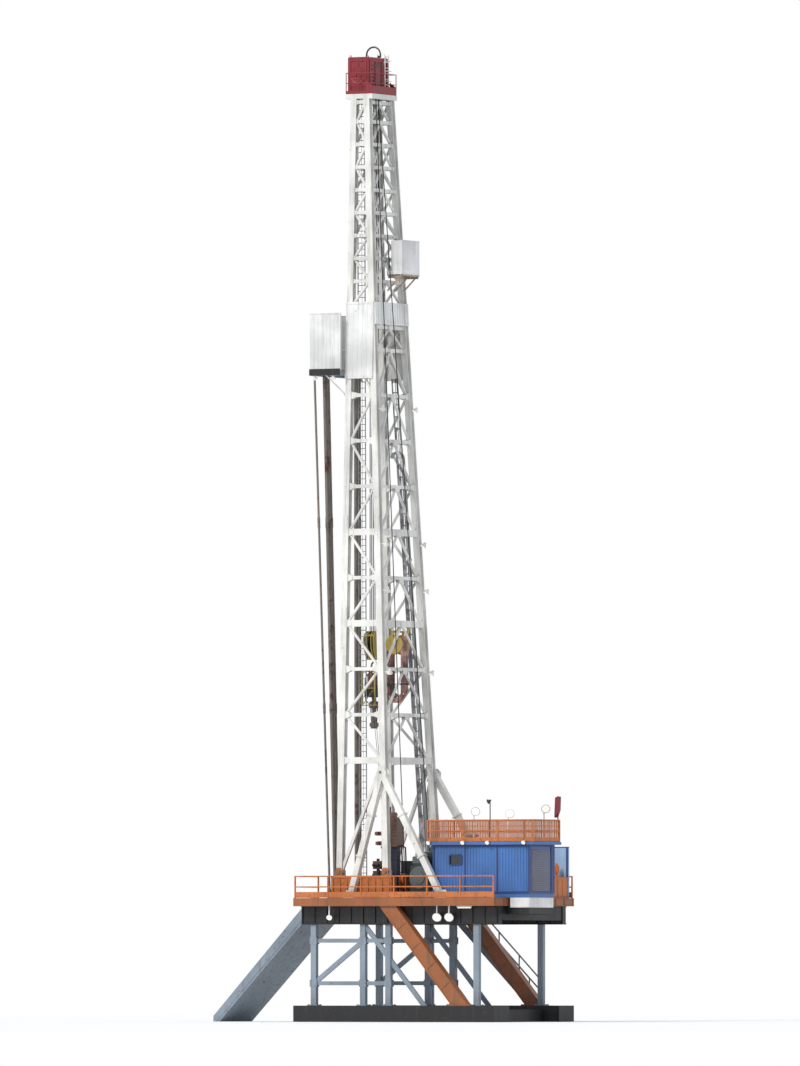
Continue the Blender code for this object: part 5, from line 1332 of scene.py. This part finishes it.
def hang_tongs(brown, wires):
    """Two tongs beside the well, each hung on a wire with a socket at both ends."""
    jaw = [(0.045, -0.05), (0.115, -0.05), (0.125, 0), (0.115, 0.05), (0.045, 0.05)]
    for y, h, hanger_x in TONGS:
        centre = at(0.38, y, h)
        brown.turned(jaw, centre, UP, 18)
        brown.bar(centre + by(0.10, 0, 0), centre + by(0.38, -0.10, 0.02), 0.05, 0.045, UP)
        brown.box((0.30, y - 0.16, h - 0.04), (0.40, y - 0.10, h + 0.04))
        lug, hanger = centre + by(0.16, -0.02, 0.01), at(hanger_x, -1.05, 5.64)
        wires.tube(lug, hanger, 0.006, 6)
        for end, other in ((lug, hanger), (hanger, lug)):
            wires.tube(end, end + (other - end).normalized() * 0.09, 0.013, 8)


def make_drawworks():
    """Guards and hood over the drum, with the motors and their boxes."""
    low, high = rig_box("drawworks")
    guards, motors, hood = pieces(3)
    middle_x = (low.x + high.x) / 2
    front, rear = low.x + 0.06, high.x - 0.06
    foot = high.z - SUNK
    for x, out in ((front, -1), (rear, 1)):
        for y in pitched(-0.38, 0.095, 9):
            guards.post(x + out * 0.006, y, 0.20, 1.04, 0.016, 0.03)
        for h in (0.18, 0.62, 1.06):
            guards.bar(at(x + out * 0.010, -0.42, h), at(x + out * 0.010, 0.42, h), 0.05, 0.024, UP)
    for y in spread(-0.38, 0.38, 7):
        guards.box((front + 0.02, y - 0.012, foot), (rear - 0.02, y + 0.012, high.z + 0.030))
    for x in (front + 0.03, rear - 0.03):
        guards.box((x - 0.02, -0.40, foot), (x + 0.02, 0.40, high.z + 0.034))
    back = rear - 0.02
    outline = ((front + 0.34, 0.0), (back, 0.0), (back, 0.24), (back - 0.10, 0.30), (front + 0.40, 0.30))
    for y in (-0.44, 0.26):
        hood.plate([at(x, y, foot + rise) for x, rise in outline], 0.18, (0, 1, 0))
    hood.box((rear - 0.16, -0.27, foot), (rear - 0.04, 0.27, high.z + 0.20))
    across = Vector((0, 1, 0))
    for sign in (-1, 1):
        centre = at(middle_x, sign * 0.87, 0.50)
        motors.tube(centre - across * sign * 0.30, centre + across * sign * 0.055, 0.27, 24)
        for shift in pitched(0.025, -0.045, 5):
            motors.disc(centre + across * sign * shift, across, 0.285, 0.014, 24)
        motors.disc(centre + across * sign * 0.060, across, 0.16, 0.03, 20)
        heads = ring(centre + across * sign * 0.055, by(0.22, 0, 0), by(0, 0, 0.22), 12)
        motors.bolts(heads, across * sign, 0.012, 0.010)
        guards.box((low.x + 0.20, sign * 0.50, 0.80 - SUNK), (high.x - 0.20, sign * 0.86, 0.86))
        motors.box((low.x + 0.14, sign * 0.55, 0.86 - SUNK), (low.x + 0.46, sign * 0.81, 1.02))
        for x in (low.x + 0.02, high.x - 0.02):
            for y in pitched(0.16, 0.18, 5):
                outline = square(x - 0.018, x + 0.018, 0.02, 0.115)
                guards.plate([at(a, sign * y, b) for a, b in outline], 0.012, (0, 1, 0))
    guards.done("drawworks_guards", "dark_machine", bevel=0.003)
    motors.done("drawworks_motors", "olive_machine")
    hood.done("drawworks_hood", "olive_machine", bevel=0.004)


# The dog house

SIDE_WINDOW = (2.91, 3.23, 0.72, 0.94)
DOOR = (3.075, 3.525, 0.0, 1.0)
"""Openings in the house's walls: from and to along the wall, then from and to over the house's floor."""
FOLD = ((-0.030, -SUNK), (-0.017, 0.014), (0.017, 0.014), (0.030, -SUNK))


def make_house():
    """The dog house's walls: cladding, shutter, trim and windows, and the lamps round its roof."""
    low, high = rig_box("dog_house_walls")
    middle_y = (low.y + high.y) / 2
    front_window = (middle_y - 0.375, middle_y + 0.375, 0.50, 0.90)
    clad_house(low, high, front_window)
    trim_house(low, high, front_window)
    make_shutter(low, high)
    make_house_lamps()


def clad_house(low, high, front_window):
    """Folded cladding on three walls, cut short where a window or the doorway is."""
    cladding = Piece()
    height = high.z - low.z

    def folds(place, hole, point_at):
        """A fold of the sheet at a place along the wall, in the stretches of its height that a hole leaves."""
        spans = [(0.04, height - 0.04)]
        if hole[0] - 0.05 < place < hole[1] + 0.05:
            spans = [(0.04, hole[2] - 0.04), (hole[3] + 0.04, height - 0.04)]
        for span in spans:
            if span[1] - span[0] > 0.05:
                cladding.prism([[point_at(a, b, low.z + h) for a, b in FOLD] for h in span])

    for x in spread(low.x + 0.10, high.x - 0.10, 31):
        for y, out, hole in ((low.y, -1, SIDE_WINDOW), (high.y, 1, DOOR)):
            folds(x, hole, lambda a, b, h: at(x + a, y + out * b, h))
    for y in spread(low.y + 0.10, high.y - 0.10, 13):
        folds(y, front_window, lambda a, b, h: at(low.x - b, y + a, h))
    cladding.done("house_cladding", "blue_paint")


def trim_house(low, high, front_window):
    """Corner posts, rails along the foot and head of the walls, and the frames of windows and doorway."""
    trim, panes = pieces(2)
    near, far, foot, head = low.y, high.y, low.z, high.z
    for x in (low.x, high.x):
        for y in (near, far):
            trim.post(x, y, foot + 0.002, head - 0.002, 0.050)
    trim.box((high.x - SUNK, far - 0.14, foot + 0.004), (high.x + 0.022, far + 0.02, head - 0.004))
    trim.box((high.x - SUNK, near - 0.01, foot + 0.004), (high.x + 0.020, near + 0.08, head - 0.004))
    for h in (foot + 0.03, head - 0.03):
        for y in (near - 0.006, far + 0.006):
            trim.bar(at(low.x, y, h), at(high.x, y, h), 0.05, 0.024, UP)
        for x in (low.x - 0.006, high.x + 0.006):
            trim.bar(at(x, near, h), at(x, far, h), 0.05, 0.024, UP)
    for y in (near - 0.008, far + 0.008):
        for x in (low.x + 0.90, low.x + 1.80):
            trim.post(x, y, foot + 0.03, head - 0.03, 0.040, 0.024)
    x0, x1, h0, h1 = SIDE_WINDOW
    h0, h1 = foot + h0, foot + h1
    frame_round(trim, [at(x, near, h) for x, h in square(x0, x1, h0, h1)], (0, -1, 0), -0.028, 0.026)
    panes.box((x0 - 0.004, near + 0.018, h0 - 0.004), (x1 + 0.004, near + 0.026, h1 + 0.004))
    y0, y1, h0, h1 = front_window
    h0, h1 = foot + h0, foot + h1
    frame_round(trim, [at(low.x, y, h) for y, h in square(y0, y1, h0, h1)], (-1, 0, 0), -0.03, 0.028)
    panes.box((low.x + 0.018, y0 - 0.004, h0 - 0.004), (low.x + 0.026, y1 + 0.004, h1 + 0.004))
    trim.post(low.x + 0.022, (y0 + y1) / 2, h0, h1, 0.03, 0.024)
    x0, x1, h0, h1 = DOOR
    doorway = [at(x, far + 0.008, foot + h) for x, h in ((x0, h0), (x0, h1), (x1, h1), (x1, h0))]
    for start, end, wide in zip(doorway, doorway[1:], ((1, 0, 0), UP, (1, 0, 0))):
        trim.bar(start, end, 0.05, 0.030, wide)
    trim.done("house_trim", "deep_blue")
    panes.done("house_windows", "window_glass")


def make_shutter(low, high):
    """The closed roller shutter on the house's rear face."""
    shutter = Piece()
    near, far = low.y, high.y
    shutter.box((high.x - SUNK, near + 0.10, low.z + 0.05), (high.x + 0.006, far - 0.17, high.z - 0.10))
    slat = ((0.004, -0.020), (0.018, -0.012), (0.018, 0.004), (0.004, 0.022))
    for h in pitched(low.z + 0.075, 0.052, 20):
        shutter.prism([[at(high.x + a, y, h + b) for a, b in slat] for y in (near + 0.12, far - 0.19)])
    shutter.done("house_shutter", "shutter")


def make_house_lamps():
    """Lamps under the eaves of the dog house, and lights on posts round its roof."""
    low, high = rig_box("dog_house_roof")
    housings, lenses, dark = pieces(3)
    for x, out in ((low.x + 0.10, -1), (3.35, -1), (4.05, -1), (high.x - 0.25, -1), (3.9, 1)):
        y = low.y if out < 0 else high.y
        housings.bar(at(x, y, high.z - 0.03), at(x, y + out * 0.03, high.z - 0.03), 0.05, 0.05, UP)
        make_floodlight(housings, lenses, at(x, y + out * 0.06, high.z - 0.02), (0, out * 0.8, -0.5), 0.05)
    near, far = low.y + 0.055, high.y - 0.055
    for x, y, h in ((3.61, near, 2.12), (4.58, near, 2.06), (4.86, far, 2.19)):
        housings.post(x, y, high.z, h, 0.022)
        make_floodlight(housings, lenses, at(x + 0.06, y - 0.02, h), (0.55, -0.75, -0.35), 0.105)
    dark.post(4.07, near, high.z, 2.34, 0.020)
    make_floodlight(dark, lenses, at(4.02, near, 2.36), (-0.9, 0, -0.4), 0.055)
    housings.done("house_lamp_housings", "white_paint")
    lenses.done("house_lamp_lenses", "lamp_lens")
    dark.done("roof_lamp_post", "dark_machine")


RAIL_INSET = 0.0165
"""From the roof rail's outside to the middle of its posts."""


def make_roof_fittings():
    """Roof sheets and fan, the bars of the roof's railing, and the post with its plate."""
    low, high = rig_box("dog_house_roof")
    sheets, fan, pickets, flap = pieces(4)
    fold = ((-0.03, -SUNK), (-0.018, 0.014), (0.018, 0.014), (0.03, -SUNK))
    for x in spread(low.x + 0.09, high.x - 0.09, 20):
        sheets.prism([[at(x + a, y, high.z + b) for a, b in fold] for y in (low.y + 0.08, high.y - 0.08)])
    cowl = [(0.001, 0), (0.10, 0), (0.10, 0.12), (0.16, 0.14), (0.16, 0.19), (0.06, 0.24), (0.001, 0.24)]
    fan.turned(cowl, at(3.2, -0.72, high.z), UP, 20)
    fan.box((3.02, -0.90, high.z - SUNK), (3.38, -0.54, high.z + 0.03))
    rail_low, rail_high = rig_box("dog_house_roof_rail")
    x0, x1 = rail_low.x + RAIL_INSET, rail_high.x - RAIL_INSET
    y0, y1 = rail_low.y + RAIL_INSET, rail_high.y - RAIL_INSET
    foot, top = rail_low.z + 0.09, rail_high.z - 0.012
    corners = [at(x, y, foot) for x, y in square(x0, x1, y0, y1)]
    for start, end in zip(corners, corners[1:] + corners[:1]):
        count = int((end - start).length / PICKET_PITCH)
        for index in range(1, count):
            picket = start.lerp(end, index / count)
            pickets.bar(picket, picket + UP * (top - foot), 0.012, 0.012)
        for share in (0.32, 0.68):
            rise = UP * (top - foot) * share
            pickets.bar(start + rise, end + rise, 0.008, 0.016, UP)
    post_x, post_y = rail_high.x - 0.05, rail_high.y - 0.03
    flap.post(post_x, post_y, rail_low.z, 2.50, 0.022)
    outline = ((-0.03, 2.46), (0.03, 2.49), (0.02, 2.16), (-0.05, 1.97))
    flap.plate([at(post_x + x, post_y - 0.10, h) for x, h in outline], 0.16, (0.15, 1, 0))
    sheets.done("roof_sheets", "blue_paint")
    fan.done("roof_fan", "galvanised")
    pickets.done("roof_rail_bars", "orange_paint")
    flap.done("roof_post_and_plate", "dark_red_paint")


def make_rear_corner():
    """Ribs and posts of the pale wall, louvres and doors of the power unit, and the locker's doors."""
    sheets, posts, trim, doors = pieces(4)
    low, high = rig_box("wind_wall")
    for y, out in ((low.y, -1), (high.y, 1)):
        ribs_between(sheets, at(low.x + 0.03, y, 0), at(high.x - 0.03, y, 0), (0, out, 0), high.z, proud=0.010)
    middle_y = (low.y + high.y) / 2
    for x in (low.x + 0.02, (low.x + high.x) / 2, high.x - 0.02):
        posts.post(x, low.y - 0.018, 0, high.z, 0.035)
    posts.bar(at(low.x, middle_y, high.z + 0.010), at(high.x, middle_y, high.z + 0.010), 0.024, 0.06, UP)
    sheets.done("wind_wall_ribs", "pale_blue_panel")
    posts.done("wind_wall_posts", "deep_blue")
    low, high = rig_box("power_unit")
    louvre_y = low.y - 0.004
    for h in pitched(0.08, 0.045, 9):
        trim.bar(at(low.x + 0.05, louvre_y, h), at(high.x - 0.05, louvre_y, h), 0.03, 0.012, (0, 0.5, 0.9))
    for face, out in ((low.x, -1), (high.x, 1)):
        for y in pitched(low.y + 0.04, 0.26, 3):
            trim.box((face - out * SUNK, y, 0.05), (face + out * 0.008, y + 0.23, 0.47))
    trim.box((low.x + 0.05, low.y + 0.08, high.z - SUNK), (high.x - 0.05, high.y - 0.30, high.z + 0.05))
    stack = at((low.x + high.x) / 2, high.y - 0.16, high.z)
    trim.tube(stack - UP * SUNK, stack + UP * 0.34, 0.035, 12)
    trim.tube(stack + UP * 0.10, stack + UP * 0.28, 0.06, 14)
    trim.done("power_unit_louvres", "orange_paint", bevel=0.003)
    low, high = rig_box("white_locker")
    width = (high.y - low.y - 0.06) / 3
    handle_h = low.z + 0.10
    for y in pitched(low.y + 0.03, width, 3):
        doors.box((high.x - SUNK, y + 0.012, low.z + 0.025), (high.x + 0.008, y + width - 0.012, high.z - 0.02))
        doors.tube(at(high.x + 0.006, y + 0.30, handle_h), at(high.x + 0.020, y + 0.30, handle_h), 0.010, 8)
    doors.box((low.x + 0.02, low.y - 0.007, low.z + 0.02), (high.x - 0.02, low.y + SUNK, high.z - 0.02))
    doors.done("locker_doors", "white_panel", bevel=0.002)


# Under the floor

SLANT_TOP = (1.50, -0.2)
SLANT_FOOT = (3.55, -2.65)
SLANT_Y = 1.84
LAMP_Y = 1.86
FLOOR_LAMPS = ((-0.20, 0.07), (2.86, 0.11), (3.20, 0.11))
"""Place along the rig and size."""


def make_substructure():
    """Stiffeners, foot plates, bolts and flanges of the substructure, and the base boxes' ribs."""
    stiff, feet, slant, base = pieces(4)
    for side, sign in SIDES:
        low, high = rig_box(f"side_frame_{side}")
        girder_low = high.z - 0.45
        for face, out in ((low.y, -1), (high.y, 1)):
            for h in (girder_low + 0.015, high.z - 0.015):
                stiff.box((low.x, face, h - 0.012), (high.x, face + out * 0.03, h + 0.012))
            for x in spread(low.x + 0.04, high.x - 0.04, 17):
                stiff.box((x - 0.006, face, girder_low + 0.02), (x + 0.006, face + out * 0.028, high.z - 0.02))
        middle = (low.y + high.y) / 2
        for x in (-0.775, 0.63, 1.35, 3.85):
            feet.box((x - 0.14, middle - 0.12, low.z), (x + 0.14, middle + 0.12, low.z + 0.024))
            heads = [at(x + a, middle + b, low.z + 0.024) for a in (-0.11, 0.11) for b in (-0.09, 0.09)]
            feet.bolts(heads, UP, 0.014, 0.012)
            for h in (-1.05, -2.10) if x < 2 else ():
                for out in (-1, 1):
                    inner, outer = middle + out * 0.058, middle + out * 0.066
                    feet.box((x - 0.10, inner, h - 0.085), (x + 0.10, outer, h + 0.085))
        slant_y = sign * SLANT_Y
        flange_slant_leg(slant, *[at(x, slant_y, h) for x, h in (SLANT_TOP, SLANT_FOOT)])
        slant.box((3.21, slant_y - 0.14, low.z), (3.85, slant_y + 0.14, low.z + 0.03))
        box_low, box_high = rig_box(f"base_box_{side}")
        face, out = (box_high.y, 1) if sign < 0 else (box_low.y, -1)
        y0, y1 = face - out * SUNK, face + out * 0.02
        for x in spread(box_low.x + 0.05, box_high.x - 0.05, 13):
            base.box((x - 0.010, y0, box_low.z + 0.03), (x + 0.010, y1, box_high.z - 0.03))
    stiff.done("girder_stiffeners", "black_steel")
    feet.done("post_feet", "grey_paint")
    # The flanges take the darker orange: part dirt, part painted shade.
    slant.done("slant_leg_flanges", "soiled_orange")
    base.done("base_ribs", "black_steel")
    make_floor_lamps()


def flange_slant_leg(piece, top, foot):
    """Flanges along both edges of a slanted leg's sides, with stiffeners between them."""
    along = (foot - top).normalized()
    across = along.cross(Vector((0, 1, 0))).normalized()
    for out in (-1, 1):
        for edge in (-1, 1):
            shift = by(0, out * (0.10 - SUNK), 0) + across * edge * 0.165
            piece.bar(top + shift + along * 0.25, foot + shift - along * 0.12, 0.026, 0.030, across)
        for share in (0.2, 0.4, 0.6, 0.8):
            centre = top.lerp(foot, share) + by(0, out * 0.10, 0)
            piece.bar(centre - across * 0.16, centre + across * 0.16, 0.014, 0.024, along)


def make_floor_lamps():
    """Lamps that hang under the deck, with a strip light beside them."""
    housings, lenses = pieces(2)
    for sign in (-1, 1):
        y = sign * LAMP_Y
        for x, size in FLOOR_LAMPS:
            housings.post(x, y, -0.48, -0.20, 0.03)
            make_floodlight(housings, lenses, at(x, y, -0.48), (0.25, sign * 0.8, -0.45), size)
        housings.box((3.44, sign * 1.84, -0.235), (3.84, sign * 1.90, -0.20))
        lenses.box((3.46, sign * 1.848, -0.260), (3.82, sign * 1.892, -0.235))
    housings.done("floor_lamp_housings", "white_paint")
    lenses.done("floor_lamp_lenses", "lamp_lens")


def make_ramp():
    """Skid bars and cross stops of the pipe ramp."""
    start, end = at(-4.15, 0, -3.05), at(rig_box("pipe_ramp")[1].x, 0, 0)
    along = (end - start).normalized()
    normal = by(-along.z, 0, along.x)
    bars = Piece()
    for y in pitched(-0.60, 0.30, 5):
        shift = by(0, y, 0) + normal * 0.008
        bars.bar(start + along * 0.12 + shift, end - along * 0.02 + shift, 0.05, 0.022, (0, 1, 0))
    for place in pitched(0.30, 0.33, 12):
        centre = start + along * place + normal * 0.004
        bars.bar(centre - by(0, 0.72, 0), centre + by(0, 0.72, 0), 0.03, 0.012, along)
    bars.done("ramp_skids", "galvanised")


STAIR_STEPS = 24
STAIR_RUN = STAIR_RISE = 3.05
STAIR_TOP_X = 0.80


def make_stair():
    """Ribbed treads with nosings, and the grating of the stair's landing."""
    low, high = rig_box("stair")
    treads = Piece()
    inner, outer = low.y + 0.034, high.y - 0.034
    for index in range(1, STAIR_STEPS):
        x = STAIR_TOP_X + STAIR_RUN * index / STAIR_STEPS
        h = -STAIR_RISE * index / STAIR_STEPS
        treads.box((x - 0.004, inner, h - 0.004), (x + 0.019, outer, h + 0.003))
        for rib_x in pitched(x - 0.105, 0.024, 4):
            treads.box((rib_x, inner, h - SUNK), (rib_x + 0.007, outer, h + 0.004))
    for x in pitched(0.225, 0.031, 18):
        treads.box((x, low.y + 0.02, -SUNK), (x + 0.007, high.y - 0.05, 0.004))
    treads.done("stair_treads", "galvanised")


# Stage, lamps and camera

CAMERA_AZIMUTH = 30
CAMERA_DISTANCE = 360
CAMERA_HEIGHT = 1.2
VIEW_HEIGHT = 26.4
AIM_HEIGHT = 12.1
SENSOR = 36
STAGE_RADIUS = 60


def make_stage():
    """A plain pale floor, a white background, a soft sun from the camera's left and even sky light."""
    mesh = bpy.data.meshes.new("floor")
    shape = bmesh.new()
    bmesh.ops.create_circle(shape, cap_ends=True, segments=96, radius=STAGE_RADIUS)
    shape.to_mesh(mesh)
    shape.free()
    floor = bpy.data.objects.new("floor", mesh)
    floor.location.z = -0.002
    bpy.context.scene.collection.objects.link(floor)
    finish = Finish("pale_floor")
    tone = finish.noise(0.25, 3)
    finish.colour(finish.mix(tone, linear((0.93, 0.93, 0.925)), linear((0.95, 0.95, 0.945))))
    finish.rough(0.9)
    mesh.materials.append(finish.material)

    world = bpy.data.worlds.new("studio")
    bpy.context.scene.world = world
    world.use_nodes = True
    tree = world.node_tree
    tree.nodes.clear()
    path = tree.nodes.new("ShaderNodeLightPath")
    seen = path.outputs["Is Camera Ray"]
    for output in ("Is Glossy Ray", "Is Transmission Ray"):
        either = tree.nodes.new("ShaderNodeMath")
        either.operation = "MAXIMUM"
        tree.links.new(seen, either.inputs[0])
        tree.links.new(path.outputs[output], either.inputs[1])
        seen = either.outputs[0]
    sky, backdrop = (tree.nodes.new("ShaderNodeBackground") for _ in range(2))
    mix = tree.nodes.new("ShaderNodeMixShader")
    sky.inputs["Color"].default_value = (0.87, 0.92, 1.0, 1)
    sky.inputs["Strength"].default_value = 0.78
    backdrop.inputs["Color"].default_value = (1, 1, 1, 1)
    for socket, value in zip(mix.inputs, (seen, sky.outputs[0], backdrop.outputs[0])):
        tree.links.new(value, socket)
    tree.links.new(mix.outputs[0], tree.nodes.new("ShaderNodeOutputWorld").inputs["Surface"])

    sun = bpy.data.objects.new("sun", bpy.data.lights.new("sun", "SUN"))
    sun.data.energy = 2.0
    sun.data.angle = math.radians(14)
    sun.data.color = (1.0, 0.965, 0.90)
    sun.rotation_euler = (math.radians(48), 0, math.radians(-14))
    bpy.context.scene.collection.objects.link(sun)
    bpy.context.scene.view_settings.view_transform = "Standard"


def make_camera():
    """A long lens near the ground, 30 degrees off the near side, as in the photograph."""
    data = bpy.data.cameras.new("camera")
    camera = bpy.data.objects.new("camera", data)
    bpy.context.scene.collection.objects.link(camera)
    bpy.context.scene.camera = camera
    azimuth = math.radians(CAMERA_AZIMUTH)
    camera.location = (math.sin(azimuth) * CAMERA_DISTANCE, -math.cos(azimuth) * CAMERA_DISTANCE, CAMERA_HEIGHT)
    aim = Vector((0, 0, AIM_HEIGHT)) - camera.location
    camera.rotation_euler = aim.to_track_quat("-Z", "Y").to_euler()
    data.sensor_width = SENSOR
    data.lens = SENSOR * CAMERA_DISTANCE / VIEW_HEIGHT
    data.clip_end = 1000


dress_solids()
for side, sign in SIDES:
    make_mast_side(side, sign)
    make_mast_shoe(side)
    make_a_frame(side, sign)
make_mast_face("mast_lattice_back", "mast_back_bracing", rear_leg, LEVELS)
make_mast_face("mast_lattice_front", "mast_front_bracing", front_leg, LEVELS[LOWER_BAYS + FRONT_BRACING_FROM :])
make_ladder()
make_standpipe()
make_cable_tray()
make_mast_lights()
make_board_walls()
make_board_fittings()
make_mast_panels()
make_landing()
make_crown()
make_drilling_lines()
make_fast_line()
make_block()
make_top_drive()
make_service_loop()
make_stands()
make_deck()
make_floor_tools()
make_drawworks()
make_house()
make_roof_fittings()
make_rear_corner()
make_substructure()
make_ramp()
make_stair()
make_stage()
make_camera()
